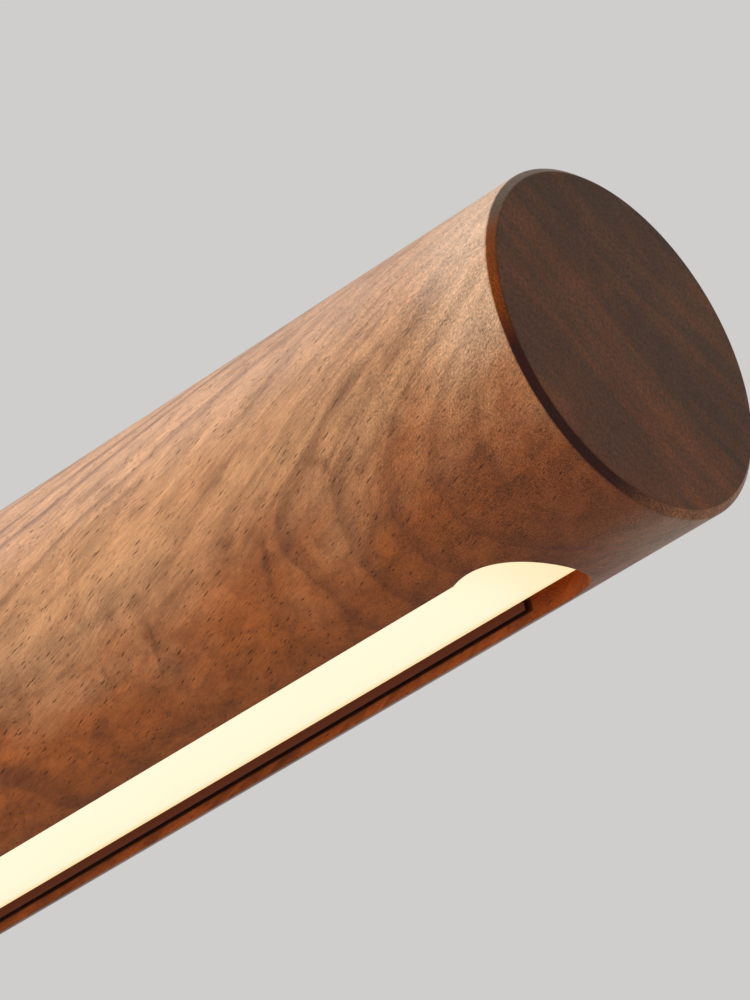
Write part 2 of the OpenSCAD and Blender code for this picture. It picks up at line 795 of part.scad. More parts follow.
module hub_body() {
    color(bronze) difference() {
        on_bar(-hub_back) turned_bar(bar_d, hub_back + hub_front, end_chamfer / 2, end_chamfer);
        on_bar(-hub_back - 1) {
            cylinder(d = hub_mouth_d, h = cap_plug + 1);
            intersection() {
                cylinder(d = hub_mouth_d, h = hub_back + hub_front - hub_front_wall + 1);
                translate([-hub_flats / 2, -hub_flats / 2, 0])
                    cube([hub_flats, hub_flats, hub_back + hub_front]);
            }
        }
        on_bar(0) cylinder(d = axle_thread_d + 2 * fit_gap, h = hub_front + 1);
        on_bar(hub_front - axle_flange_t) cylinder(d = axle_flange_d + 2 * fit_gap, h = axle_flange_t + 1);
        on_bar(hub_front - axle_flange_t - roll_pin_seat) translate([-roll_pin_r, 0])
            cylinder(d = roll_pin_d + 2 * fit_gap, h = roll_pin_seat + 1);
        translate([0, 0, stem_top - bar_d]) cylinder(d = stem_d + 2 * fit_gap, h = bar_d);
        translate([0, 0, stem_top - 1]) cylinder(d = nipple_d + 2 * fit_gap, h = pocket_floor - stem_top + 2);
    }
}

module hub_cap() {
    plug_d = hub_mouth_d - 2 * fit_gap;
    color(walnut) difference() {
        union() {
            on_bar(-hub_back - cap_t) turned_bar(bar_d, cap_t, end_chamfer, end_chamfer / 2);
            on_bar(-hub_back) cylinder(d = plug_d, h = cap_plug);
        }
        on_bar(-hub_back + (cap_plug - cap_ring_t) / 2 - fit_gap)
            ring(hub_mouth_d + 1, plug_d - 2 * cap_ring_t, cap_ring_t + 2 * fit_gap);
    }
}

// A rubber ring in the groove of the cap's plug
module cap_ring() {
    color(rubber) on_bar(-hub_back + cap_plug / 2) rotate_extrude()
        translate([hub_mouth_d / 2 - fit_gap - cap_ring_t / 2, 0]) circle(d = cap_ring_t - 2 * fit_gap);
}

// Roll joint

// The axle's flange is let into the hub, its journal runs in the bush, and both ends are threaded
module roll_axle() {
    color(steel) difference() {
        union() {
            on_bar(tail_x) cylinder(d = axle_thread_d, h = axle_end - tail_x);
            on_bar(hub_front - axle_flange_t) cylinder(d = axle_flange_d, h = axle_flange_t);
            on_bar(hub_front - axle_flange_t) cylinder(d = axle_d, h = bush_end - hub_front + axle_flange_t);
        }
        on_bar(tail_x - 1) cylinder(d = axle_bore, h = axle_end - tail_x + 2);
        on_bar(hub_front - axle_flange_t - 1) translate([-roll_pin_r, 0])
            cylinder(d = roll_pin_d + 2 * fit_gap, h = axle_flange_t + 2);
    }
}

module axle_nut() {
    color(steel) on_bar(tail_x + thread_spare) hex_nut(axle_nut_af, axle_nut_t, axle_thread_d + 2 * fit_gap);
}

module lock_nut() {
    color(steel) on_bar(lock_nut_x) hex_nut(axle_nut_af, axle_nut_t, axle_thread_d + 2 * fit_gap);
}

module friction_washer() {
    color(dark_plastic) on_bar(hub_front) difference() {
        ring(friction_d, axle_d + 2 * fit_gap, friction_t);
        translate([-roll_pin_r, 0, -1]) cylinder(d = roll_pin_d + 2 * fit_gap, h = friction_t + 2);
    }
}

module roll_stop_pin() {
    color(steel) on_bar(hub_front - axle_flange_t - roll_pin_seat) translate([-roll_pin_r, 0])
        cylinder(d = roll_pin_d, h = roll_pin_seat + axle_flange_t + friction_t + roll_pin_reach);
}

// A coned spring plate that loads the friction washer
module disc_spring() {
    inner = axle_thread_d / 2 + fit_gap;
    outer = axle_nut_af / 2;
    color(steel) on_bar(bush_end) rotate_extrude()
        polygon([[outer, 0], [outer, spring_t], [inner, spring_h], [inner, spring_h - spring_t]]);
}

// Bar

module wood_bar() {
    color(walnut) difference() {
        on_bar(bar_x) turned_bar(bar_d, bar_len, end_chamfer, end_chamfer);
        on_bar(bar_x - 1) cylinder(d = bush_flange_d + 2 * fit_gap, h = bush_flange_t + 1);
        on_bar(bar_x) cylinder(d = bush_d + 2 * fit_gap, h = bore_end - bar_x);
        bush_screw_places() flat_screw_hole(bush_head_d, bush_screw_d, bush_screw_l);
        on_bar(bore_end - 1) cylinder(d = lead_hole_d, h = pocket_hub_x - bore_end + 1);
        translate([0, 0, bar_height - bar_d]) linear_extrude(bar_d + ceiling_z)
            slot_plan(pocket_r, slot_w / 2);
        translate([pocket_hub_x, 0, bar_height + ceiling_z - 1])
            cylinder(d = lead_well_d, h = 1 - ceiling_z + lead_hole_d / 2);
        channel_screw_places() flat_screw_hole(channel_head_d, channel_screw_d, channel_screw_l);
    }
}

// The three screws of the bush, their heads flush with its flange
module bush_screw_places() {
    for (a = [60, 180, 300]) on_bar(bar_x) rotate(a) translate([bush_screw_r, 0]) children();
}

// The flanged bush in the bar's end, with the round groove that stops the roll
module bar_bush() {
    groove_w = roll_pin_d + 2 * pass_gap;
    color(brass) difference() {
        union() {
            on_bar(bar_x) cylinder(d = bush_flange_d, h = bush_flange_t);
            on_bar(bar_x) cylinder(d = bush_d, h = bush_len);
        }
        on_bar(bar_x - 1) cylinder(d = axle_d + 2 * run_gap, h = bush_len + 2);
        on_bar(bar_x - 1) rotate(180 - roll_groove_half) rotate_extrude(angle = 2 * roll_groove_half)
            translate([roll_pin_r - groove_w / 2, 0]) square([groove_w, 1 + roll_groove_h]);
        bush_screw_places() flat_screw_hole(bush_head_d, bush_screw_d, bush_screw_l);
    }
}

module bush_screws() {
    color(steel) bush_screw_places() flat_screw(bush_head_d, bush_screw_d, bush_screw_l);
}

// Light source

// A channel open downwards, with a ledge that the diffuser stops against and lips that clasp it
module led_channel() {
    lip_z = diffuser_z - lip_drop;
    right = [[channel_half, ceiling_z], [channel_half, lip_z], [lip_half, lip_z], [lip_half, diffuser_top],
        [wall_half, diffuser_top], [wall_half, floor_z]];
    left = [for (i = [len(right) - 1 : -1 : 0]) [-right[i][0], right[i][1]]];
    color(bronze) difference() {
        along_bar(channel_x, channel_len) polygon(concat(right, left));
        channel_screw_places() flat_screw_hole(channel_head_d, channel_screw_d, channel_screw_l);
    }
}

// The screws stand in the channel's floor, their heads flush behind the strip
module channel_screw_places() {
    step = channel_len / channel_screw_count;
    for (i = [0 : channel_screw_count - 1])
        translate([channel_x + (i + 0.5) * step, 0, bar_height + floor_z]) children();
}

module channel_screws() {
    color(steel) channel_screw_places() flat_screw(channel_head_d, channel_screw_d, channel_screw_l);
}

module led_strip() {
    color(pale_plastic) translate([strip_x, -strip_w / 2, bar_height + strip_z])
        cube([strip_len, strip_w, strip_t]);
}

// The lamps stand in a row under the strip, from its terminal to its free end
module leds() {
    first = terminal_x + terminal_l + led_pitch / 2;
    count = floor((strip_x + strip_len - led_l - first) / led_pitch) + 1;
    color("khaki") for (i = [0 : count - 1])
        translate([first + i * led_pitch, -led_w / 2, bar_height + strip_z - led_h])
            cube([led_l, led_w, led_h]);
}

module strip_terminal() {
    color(pale_plastic) translate([terminal_x, -terminal_w / 2, bar_height + strip_z - terminal_h])
        cube([terminal_l, terminal_w, terminal_h]);
}

// The opal strip lies between the lips, and its round ends run on into the pockets
module diffuser() {
    color(opal) translate([0, 0, bar_height + diffuser_z]) linear_extrude(diffuser_t) intersection() {
        slot_plan(pocket_r - diffuser_gap, diffuser_half);
        translate([bar_x, -diffuser_half]) square([bar_len, 2 * diffuser_half]);
    }
}

// Leads in the stem, the hub and the bar, meeting on the axes of the two joints

module stem_lead() {
    color(rubber) {
        translate([0, 0, stem_z]) cylinder(d = lead_d, h = bar_height - hub_bend - stem_z);
        translate([hub_bend, 0, bar_height - hub_bend]) rotate([90, 0, 180]) bend(hub_bend, lead_d);
        on_bar(hub_bend) cylinder(d = lead_d, h = axle_end - hub_bend);
    }
}

// The lead leaves the axle, drops down the well and runs on to the strip's terminal
module bar_lead() {
    down_x = pocket_hub_x;
    low_z = bar_height + lead_end_z;
    color(rubber) union() {
        union() {
            on_bar(axle_end) cylinder(d = lead_d, h = down_x - lead_bend - axle_end);
            translate([down_x - lead_bend, 0, bar_height - lead_bend]) rotate([90, 0, 0])
                bend(lead_bend, lead_d);
        }
        translate([down_x, 0, low_z + lead_bend]) cylinder(d = lead_d, h = -lead_end_z - 2 * lead_bend);
        union() {
            translate([down_x + lead_bend, 0, low_z + lead_bend]) rotate([-90, 0, 180])
                bend(lead_bend, lead_d);
            translate([down_x + lead_bend, 0, low_z]) rotate([0, 90, 0])
                cylinder(d = lead_d, h = terminal_x - down_x - lead_bend);
        }
    }
}

base_cover();
ballast();
bottom_plate();
plate_screws();
foot_pad();
stem_socket();
socket_screws();
upper_bush();
lower_bush();
swivel_stop_pin();
driver_board();
driver_parts();
power_inlet();
switch_board();
switch_body();
board_screws();
link_lead();
link_plugs();
output_plug();
base_lead();
button_cap();
switch_plunger();
stem_tube();
stem_collar();
stop_washer();
stem_clip();
hub_nipple();
nipple_nut();
hub_body();
hub_cap();
cap_ring();
roll_axle();
axle_nut();
friction_washer();
roll_stop_pin();
disc_spring();
lock_nut();
stem_lead();
wood_bar();
bar_bush();
bush_screws();
led_channel();
channel_screws();
led_strip();
leds();
strip_terminal();
diffuser();
bar_lead();
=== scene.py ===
"""Linear table lamp: a turned walnut bar with a light slot, on a hub, a stem and a weighted round base.

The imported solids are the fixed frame. The pieces that show are surfaces worked out with numpy, in metres,
in the frame of the solids: origin under the middle of the base, +Z up, the bar along +X with its slot
facing down.
"""
import json
import math
from functools import cache, reduce

import bmesh
import bpy
import numpy as np
from bpy.props import FloatProperty, FloatVectorProperty, PointerProperty
from mathutils import Matrix, Vector


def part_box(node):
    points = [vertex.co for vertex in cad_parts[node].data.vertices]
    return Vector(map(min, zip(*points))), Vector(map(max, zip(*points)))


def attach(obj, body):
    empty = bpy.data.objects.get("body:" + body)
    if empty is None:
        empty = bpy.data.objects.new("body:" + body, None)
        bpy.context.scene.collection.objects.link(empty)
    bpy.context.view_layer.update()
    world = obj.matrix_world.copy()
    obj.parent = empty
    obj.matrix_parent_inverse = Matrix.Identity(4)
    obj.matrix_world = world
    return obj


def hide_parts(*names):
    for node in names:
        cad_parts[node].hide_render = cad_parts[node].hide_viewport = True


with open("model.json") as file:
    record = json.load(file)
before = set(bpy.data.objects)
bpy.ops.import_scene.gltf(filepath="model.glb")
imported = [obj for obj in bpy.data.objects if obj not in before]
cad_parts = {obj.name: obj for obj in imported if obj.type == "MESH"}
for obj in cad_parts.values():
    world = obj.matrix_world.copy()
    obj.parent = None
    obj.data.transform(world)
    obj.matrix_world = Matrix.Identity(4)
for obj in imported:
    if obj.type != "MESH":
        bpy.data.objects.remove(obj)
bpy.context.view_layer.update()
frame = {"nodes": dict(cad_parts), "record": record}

bl_info = {
    "name": "Linear table lamp",
    "version": (1, 0, 0),
    "blender": (4, 5, 0),
    "location": "View3D > Sidebar > Lamp",
    "description": "Dresses the packed solids of a walnut table lamp and sets its studio",
    "category": "Object",
}

MM = 0.001
TURN = 2 * math.pi
QUARTER = math.pi / 2


def box(node):
    """Lowest and highest corner of a solid, as two arrays."""
    low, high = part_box(node)
    return np.array(low), np.array(high)


BAR_LOW, BAR_HIGH = box("wood_bar")
HUB_LOW, HUB_HIGH = box("hub_body")
CAP_LOW, CAP_HIGH = box("hub_cap")
STEM_LOW, STEM_HIGH = box("stem_tube")
COLLAR_LOW, COLLAR_HIGH = box("stem_collar")
SOCKET_LOW, SOCKET_HIGH = box("stem_socket")
COVER_LOW, COVER_HIGH = box("base_cover")
BUTTON_LOW, BUTTON_HIGH = box("button_cap")
OPAL_LOW, OPAL_HIGH = box("diffuser")
CHANNEL_LOW, CHANNEL_HIGH = box("led_channel")
INLET_LOW, INLET_HIGH = box("power_inlet")
AXIS_Z = float(BAR_LOW[2] + BAR_HIGH[2]) / 2
BAR_RADIUS = float(BAR_HIGH[1] - BAR_LOW[1]) / 2
FREE_END = Vector((BAR_HIGH[0], 0, AXIS_Z))


# Settings

def size(name, description, millimetres):
    """A length that a user may change."""
    return FloatProperty(name=name, description=description, default=millimetres * MM, unit="LENGTH",
                         precision=4)


def tint(name, description, default):
    """A colour that a user may change."""
    return FloatVectorProperty(name=name, description=description, default=default, subtype="COLOR", size=3,
                               min=0, max=1)


def strength(name, description, default, unit="NONE"):
    """A level, a power or a focal length that a user may change."""
    return FloatProperty(name=name, description=description, default=default, unit=unit, min=0)


class LampSizes(bpy.types.PropertyGroup):
    """Sizes of the pieces that show, beyond what the boxes of the solids give."""
    slot_half: size("Slot half width", "Half the width of the straight slot", 7.1)
    pocket_radius: size("Pocket radius", "Radius of the slot's round end pockets", 7.5)
    slot_end: size("Slot end gap", "Wood between the slot and the free end", 13.2)
    slot_start: size("Slot start", "Distance of the slot from the hub's end of the bar", 60.2)
    slot_ceiling: size("Slot ceiling", "Height of the slot's ceiling below the bar's axis", 7.0)
    end_chamfer: size("End chamfer", "Chamfer on the ends of the bar and its cap", 0.78)
    edge_chamfer: size("Edge chamfer", "Chamfer on the hub, the socket and the smaller pieces", 1.0)
    wood_ease: size("Wood easing", "Rounding of the wood's edges", 0.16)
    metal_ease: size("Metal easing", "Rounding of the edges of the metal and the diffuser", 0.25)
    fold_ease: size("Fold easing", "Rounding of the channel's folds", 0.08)
    opal_end: size("Diffuser end radius", "Radius of the diffuser's ends", 7.3)
    channel_top: size("Channel top", "Thickness of the channel behind the light strip", 1.5)
    channel_wall: size("Channel wall", "Thickness of the channel's sides above the diffuser", 1.0)
    lip_wall: size("Lip wall", "Distance of a lip's inner side from the channel's side", 0.5)
    lip_reach: size("Lip reach", "How far the channel's lips reach below its solid", 0.28)
    lip_thick: size("Lip thickness", "Thickness of the channel's lips beside the diffuser", 0.15)
    bush_recess: size("Bush recess", "Radius of the bush flange's seat in the bar", 17.05)
    bush_depth: size("Bush depth", "Depth of the bush flange's seat", 3.0)
    bush_bore: size("Bush bore", "Radius of the bush's bore in the bar", 10.05)
    bore_depth: size("Bore depth", "Depth of the bore from the bar's end", 46.2)
    hub_mouth: size("Hub mouth", "Radius of the hub's mouth, which takes the cap's plug", 14.0)
    flange_seat: size("Flange seat", "Radius of the axle flange's seat in the hub", 13.05)
    flange_depth: size("Flange depth", "Depth of the axle flange's seat", 2.0)
    stem_bore: size("Stem bore", "Radius of the stem's bore", 5.0)
    socket_bore: size("Socket bore", "Radius of the socket's bore", 8.55)
    fit_gap: size("Fit gap", "Gap around pieces that are fitted into each other", 0.05)
    pass_gap: size("Pass gap", "Gap around the button and the inlet", 0.3)
    cover_chamfer: size("Base chamfer", "Chamfer around the top of the base", 1.5)
    cover_wall: size("Base wall", "Thickness of the base cover's side", 2.5)
    cover_top: size("Base top", "Thickness of the base cover's top", 3.0)
    button_rim: size("Button rim", "Width of the rim that keeps the button in", 1.5)
    rim_height: size("Rim height", "Height of the rim that keeps the button in", 1.5)


class LampColours(bpy.types.PropertyGroup):
    """Colours of the finishes."""
    walnut_pale: tint("Pale walnut", "Early wood", (0.53, 0.262, 0.122))
    walnut_mid: tint("Mid walnut", "Main tone of the wood", (0.41, 0.112, 0.026))
    walnut_dark: tint("Dark walnut", "Late wood and dark streaks", (0.100, 0.030, 0.015))
    # The pores' colour is also used as painted shade in the slot, under the channel's lips
    walnut_pore: tint("Pores", "Open pores of the wood, and the stain in the slot", (0.045, 0.013, 0.006))
    bronze: tint("Bronze coat", "Dark bronze of the base, the stem and the hub", (0.075, 0.041, 0.030))
    channel: tint("Channel", "Bronze of the light channel", (0.15, 0.062, 0.045))
    opal: tint("Opal", "The diffuser's own plastic", (0.40, 0.38, 0.33))
    glow: tint("Glow", "The lit diffuser as it looks", (0.92, 0.85, 0.60))
    glow_edge: tint("Glow edge", "The lit diffuser along its edges", (0.90, 0.70, 0.35))
    spill: tint("Spill", "The light that the diffuser throws on the slot", (1.0, 0.28, 0.02))
    steel: tint("Steel", "Plain turned steel", (0.56, 0.56, 0.57))
    brass: tint("Brass", "Turned brass", (0.72, 0.53, 0.24))
    iron: tint("Iron", "Phosphated iron", (0.10, 0.098, 0.095))
    bearing: tint("Bearing plastic", "Bushes and friction washer", (0.022, 0.021, 0.02))
    black: tint("Black plastic", "Switch body and driver parts", (0.02, 0.02, 0.021))
    white: tint("White plastic", "Plugs, terminal and plunger", (0.72, 0.71, 0.67))
    board: tint("Board", "Mask of the boards and the light strip", (0.03, 0.13, 0.075))
    resin: tint("Resin", "The small light sources", (0.80, 0.62, 0.16))
    rubber: tint("Rubber", "Leads, ring and foot pad", (0.018, 0.018, 0.018))
    floor: tint("Floor", "Studio floor", (0.72, 0.715, 0.705))
    backdrop: tint("Backdrop", "Studio background", (0.625, 0.617, 0.605))


class LampLight(bpy.types.PropertyGroup):
    """Strengths of the lamp's own light and of the studio."""
    key: strength("Key light", "Power of the soft light above the bar", 2.8, "POWER")
    fill: strength("Fill light", "Power of the wide soft light at the front", 126, "POWER")
    top: strength("Top light", "Power of the soft light overhead", 6, "POWER")
    ambient: strength("Ambient", "Level of the light from above and behind", 0.42)
    shade: strength("Shade", "Level of the light from the camera's side", 0.05)
    spill: strength("Spill", "How strongly the diffuser lights the slot", 0.56)
    lens: strength("Lens", "Focal length of the camera", 183.05, "CAMERA")


# Surfaces

# Points this close are merged, thinner faces are dropped, and sharper edges than the crease stay sharp
MERGE = 2e-6
SLIVER = 1e-7
CREASE = math.radians(40)
# Steps of a rounded corner, and the distance of its support points in easings
EASE_STEPS = 4
EASE_SUPPORT = 1.5
# Steps around turned pieces, and of the arcs and the straight of a long outline
UPRIGHT_STEPS, LEVEL_STEPS, COVER_STEPS = 160, 192, 288
ARC_STEPS, RUN_STEPS = 40, 110
# Steps over the rounded edge of the slot, and over that of the diffuser and the button's hole
SLOT_EDGE_STEPS, EDGE_STEPS = 7, 5
# Rows of the bar's end face and of its plain stretches before and after the slot, and columns of its skin
FACE_ROWS, FIRST_ROWS, LAST_ROWS, SKIN_COLUMNS = 14, 24, 14, 100
# Rows along the channel and points across its ends, and rings around the button's hole
CHANNEL_ROWS, FOLD_POINTS, HOLE_RINGS = 60, 80, 9
# The inlet's window: plain wall above and below it, rows of that band, steps to each side of its middle,
# rings around it, margins that spread them evenly, and how squarely its flats turn into its round ends
WINDOW_BAND = 3 * MM
BAND_ROWS = 9
WINDOW_STEPS = 12
WINDOW_RINGS = 7
WINDOW_MARGINS = (8 * MM, 3.5 * MM)
WINDOW_SQUARE = 4


def grid_faces(rows, cols, closed=False):
    """Quads of a grid numbered row by row; a closed grid joins its last column to its first."""
    row, col = np.meshgrid(np.arange(rows - 1), np.arange(cols if closed else cols - 1), indexing="ij")
    after = (col + 1) % cols
    return np.stack([row * cols + col, row * cols + after, (row + 1) * cols + after, (row + 1) * cols + col],
                    axis=-1).reshape(-1, 4)


def patch(points, closed=False):
    """A grid of points with its quads."""
    return points.reshape(-1, 3), grid_faces(*points.shape[:2], closed)


def mirrored(points):
    """A grid of points as a patch, and its mirror image in the plane y = 0."""
    places, faces = patch(points)
    return [(places, faces), (places * np.array([1, -1, 1]), faces[:, ::-1])]


def make_piece(name, patches, material, body, node):
    """One mesh object from patches: shared edges are merged, normals point out and sharp edges stay sharp."""
    points = np.concatenate([p for p, _ in patches])
    starts = np.cumsum([0] + [len(p) for p, _ in patches[:-1]])
    faces = np.concatenate([f + start for (_, f), start in zip(patches, starts)])
    mesh = bpy.data.meshes.new(name)
    mesh.from_pydata(points.tolist(), [], faces.tolist())
    work = bmesh.new()
    work.from_mesh(mesh)
    bmesh.ops.remove_doubles(work, verts=work.verts, dist=MERGE)
    bmesh.ops.dissolve_degenerate(work, edges=work.edges, dist=SLIVER)
    bmesh.ops.recalc_face_normals(work, faces=work.faces)
    work.to_mesh(mesh)
    work.free()
    mesh.shade_smooth()
    mesh.set_sharp_from_angle(angle=CREASE)
    mesh.materials.append(material)
    piece = bpy.data.objects.new(name, mesh)
    bpy.context.collection.objects.link(piece)
    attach(piece, body)
    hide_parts(node)


def eased(corners, ease):
    """A polyline with each inner corner rounded: a quadratic curve from one easing before the corner to one
    after it, and a support point beyond each end of the curve that keeps the flats flat. The easing shrinks
    to a third of the shorter side where sides are short."""
    corners = np.asarray(corners, float)
    before, here, after = corners[:-2], corners[1:-1], corners[2:]
    back, on = before - here, after - here
    back_length = np.linalg.norm(back, axis=1, keepdims=True)
    on_length = np.linalg.norm(on, axis=1, keepdims=True)
    reach = np.minimum(ease, np.minimum(back_length, on_length) / 3)
    back, on = back / back_length * reach, on / on_length * reach
    t = np.linspace(0, 1, EASE_STEPS + 1)[None, :, None]
    curve = ((1 - t) ** 2 * (here + back)[:, None] + 2 * t * (1 - t) * here[:, None]
             + t * t * (here + on)[:, None])
    rows = np.concatenate([(here + back * EASE_SUPPORT)[:, None], curve, (here + on * EASE_SUPPORT)[:, None]],
                          axis=1).reshape(-1, 2)
    return np.concatenate([corners[:1], rows, corners[-1:]])


def around(steps):
    """Even angles around a turn."""
    return np.arange(steps) * TURN / steps


def rounding(ease, steps):
    """How far a rounded edge lies in from its two faces:
    e (1 - sin t) and e (1 - cos t) for t over a quarter turn."""
    t = np.linspace(0, QUARTER, steps)
    return ease * (1 - np.sin(t)), ease * (1 - np.cos(t))


def lathe(profile, place, across, up, axis, turns):
    """A profile of (radius, height) turned about an axis:
    place + radius (cos a across + sin a up) + height axis."""
    a = around(turns)
    ring = np.cos(a)[:, None] * np.array(across, float) + np.sin(a)[:, None] * np.array(up, float)
    points = (np.array(place, float) + profile[:, 0, None, None] * ring[None]
              + profile[:, 1, None, None] * np.array(axis, float))
    return patch(points, closed=True)


def upright(profile, x=0.0, y=0.0, turns=UPRIGHT_STEPS):
    """A profile turned about a vertical axis."""
    return lathe(profile, (x, y, 0), (1, 0, 0), (0, 1, 0), (0, 0, 1), turns)


def level(profile):
    """A profile turned about the bar's axis, its heights measured along X."""
    return lathe(profile, (0, 0, AXIS_Z), (0, 1, 0), (0, 0, 1), (1, 0, 0), LEVEL_STEPS)


def sleeve(bore, solid_low, solid_high, foot, head, ease):
    """The section of a round sleeve, with a chamfer at its foot and head where they aren't 0, that starts
    and ends at the middle of its bore."""
    r, low, high = solid_high[0], solid_low[2], solid_high[2]
    middle = (bore, (low + high) / 2)
    lower = [(r - foot, low), (r, low + foot)] if foot else [(r, low)]
    upper = [(r, high - head), (r - head, high)] if head else [(r, high)]
    return eased([middle, (bore, low), *lower, *upper, (bore, high), middle], ease)


def slot_outline(start, end, half, radius, bulge):
    """Half of a long outline in plan: stations X and half widths W. Its ends are arcs of the given radius
    about x = start and x = end, W = radius cos f at X = centre + radius sin f, and between them W = half.
    With bulge 1 the arcs swell past the straight, as the slot's pockets do, and with -1 they are cut off by
    it."""
    kink = math.acos(half / radius)
    f = np.linspace(-bulge * kink, QUARTER, ARC_STEPS)
    inset = bulge * radius * math.sin(kink)
    run = np.linspace(start + inset, end - inset, RUN_STEPS)[1:-1]
    x = np.concatenate([start - radius * np.sin(f[::-1]), run, end + radius * np.sin(f)])
    w = np.concatenate([radius * np.cos(f[::-1]), np.full(len(run), half), radius * np.cos(f)])
    return x, np.maximum(w, 0)


def bar_surface(s):
    """The walnut bar: its skin with the two turned ends, and the slot with its round pockets."""
    start = BAR_LOW[0] + s.slot_start + s.pocket_radius
    end = BAR_HIGH[0] - s.slot_end - s.pocket_radius

    def outline(d):
        """The slot's outline, moved out by d."""
        return slot_outline(start, end, s.slot_half + d, s.pocket_radius + d, 1)

    return bar_skin(s, *outline(s.wood_ease)) + bar_slot(s, outline)


def bar_skin(s, x, w):
    """Around the axis the skin runs from the slot's edge, or from the lowest line beyond the slot, to the
    top line: angle = edge + (pi - edge) c for c from 0 to 1, with edge = asin(W / R). The columns bunch at
    the slot's edge. The rows beyond the slot follow the turned profile of each end: chamfer, face, and at
    the hub's end the seat and bore of the bush."""
    r, e, c, low, high = BAR_RADIUS, s.wood_ease, s.end_chamfer, BAR_LOW[0], BAR_HIGH[0]
    hub_end = eased([(0, s.bore_depth), (s.bush_bore, s.bore_depth), (s.bush_bore, s.bush_depth),
                     (s.bush_recess, s.bush_depth), (s.bush_recess, 0), (r - c, 0), (r, c), (r, 4 * c)], e)
    free_end = eased([(r, 4 * c), (r, c), (r - c, 0), (0, 0)], e)
    face = np.linspace(1, 0, FACE_ROWS)[1:-1, None] * np.array([[free_end[-2, 0], 0]])
    free_end = np.concatenate([free_end[:-1], face, free_end[-1:]])
    first = np.linspace(low + 5 * c, x[0], FIRST_ROWS)[:-1]
    last = np.linspace(x[-1], high - 5 * c, LAST_ROWS)[1:]
    row_x = np.concatenate([low + hub_end[:, 1], first, x, last, high - free_end[:, 1]])
    row_r = np.concatenate([hub_end[:, 0], np.full(len(first) + len(x) + len(last), r), free_end[:, 0]])
    row_w = np.concatenate([np.zeros(len(hub_end) + len(first)), w, np.zeros(len(last) + len(free_end))])
    edge = np.arcsin(np.clip(row_w / r, 0, 1))[:, None]
    columns = np.concatenate([[0, 0.003, 0.008], np.linspace(0.016, 1, SKIN_COLUMNS)])[None]
    angle = edge + (math.pi - edge) * columns
    return mirrored(np.stack([np.broadcast_to(row_x[:, None], angle.shape), row_r[:, None] * np.sin(angle),
                              AXIS_Z - row_r[:, None] * np.cos(angle)], axis=-1))


def bar_slot(s, outline):
    """The slot's walls rise from the skin to the ceiling. Their edge is rounded by moving the outline out
    by e (1 - sin t) while the wall starts e (1 - cos t) above the skin."""
    out, up = rounding(s.wood_ease, SLOT_EDGE_STEPS)
    plans = np.array([outline(d) for d in out])
    x, w = plans[:, 0], plans[:, 1]
    rim = AXIS_Z - np.sqrt(BAR_RADIUS ** 2 - w ** 2) + up[:, None]
    rise = np.array([0.04, 0.12, 0.35, 0.7, 0.96, 1.0])[:, None]
    across = np.array([0.98, 0.9, 0.6, 0.3, 0.0])[:, None]
    ceiling = AXIS_Z - s.slot_ceiling
    wall = rim[-1] + (ceiling - rim[-1]) * rise
    z = np.concatenate([rim, wall, np.full((len(across), x.shape[1]), ceiling)])
    x = np.concatenate([x, np.repeat(x[-1:], len(rise) + len(across), axis=0)])
    y = np.concatenate([w, np.repeat(w[-1:], len(rise), axis=0), w[-1:] * across])
    return mirrored(np.stack([x, y, z], axis=-1))


def diffuser_surface(s):
    """The diffuser: its outline in plan is drawn in by e (1 - sin t) while it rises e (1 - cos t), which
    rounds the lower and the upper edge, and the faces close to the middle line."""
    low, high = OPAL_LOW[2], OPAL_HIGH[2]
    start, end = OPAL_LOW[0] + s.opal_end, OPAL_HIGH[0] - s.opal_end
    drawn_in, up = rounding(s.metal_ease, EDGE_STEPS)
    inset = np.concatenate([drawn_in, up])
    rise = np.concatenate([low + up, high - drawn_in])
    plans = np.array([slot_outline(start, end, OPAL_HIGH[1] - d, s.opal_end - d, -1) for d in inset])
    x, w = plans[:, 0], plans[:, 1]
    across = np.array([0.0, 0.35, 0.7, 0.94])[:, None]
    rows = len(across)
    z = np.concatenate([np.full(rows, low), rise, np.full(rows, high)])
    x = np.concatenate([np.repeat(x[:1], rows, axis=0), x, np.repeat(x[-1:], rows, axis=0)])
    y = np.concatenate([w[:1] * across, w, w[-1:] * across[::-1]])
    return mirrored(np.stack([x, y, np.broadcast_to(z[:, None], x.shape)], axis=-1))


def evenly(line, steps):
    """Points at even steps of length along a polyline."""
    length = np.concatenate([[0], np.cumsum(np.linalg.norm(np.diff(line, axis=0), axis=1))])
    at = np.linspace(0, 1, steps) * length[-1]
    return np.stack([np.interp(at, length, line[:, i]) for i in (0, 1)], axis=-1)


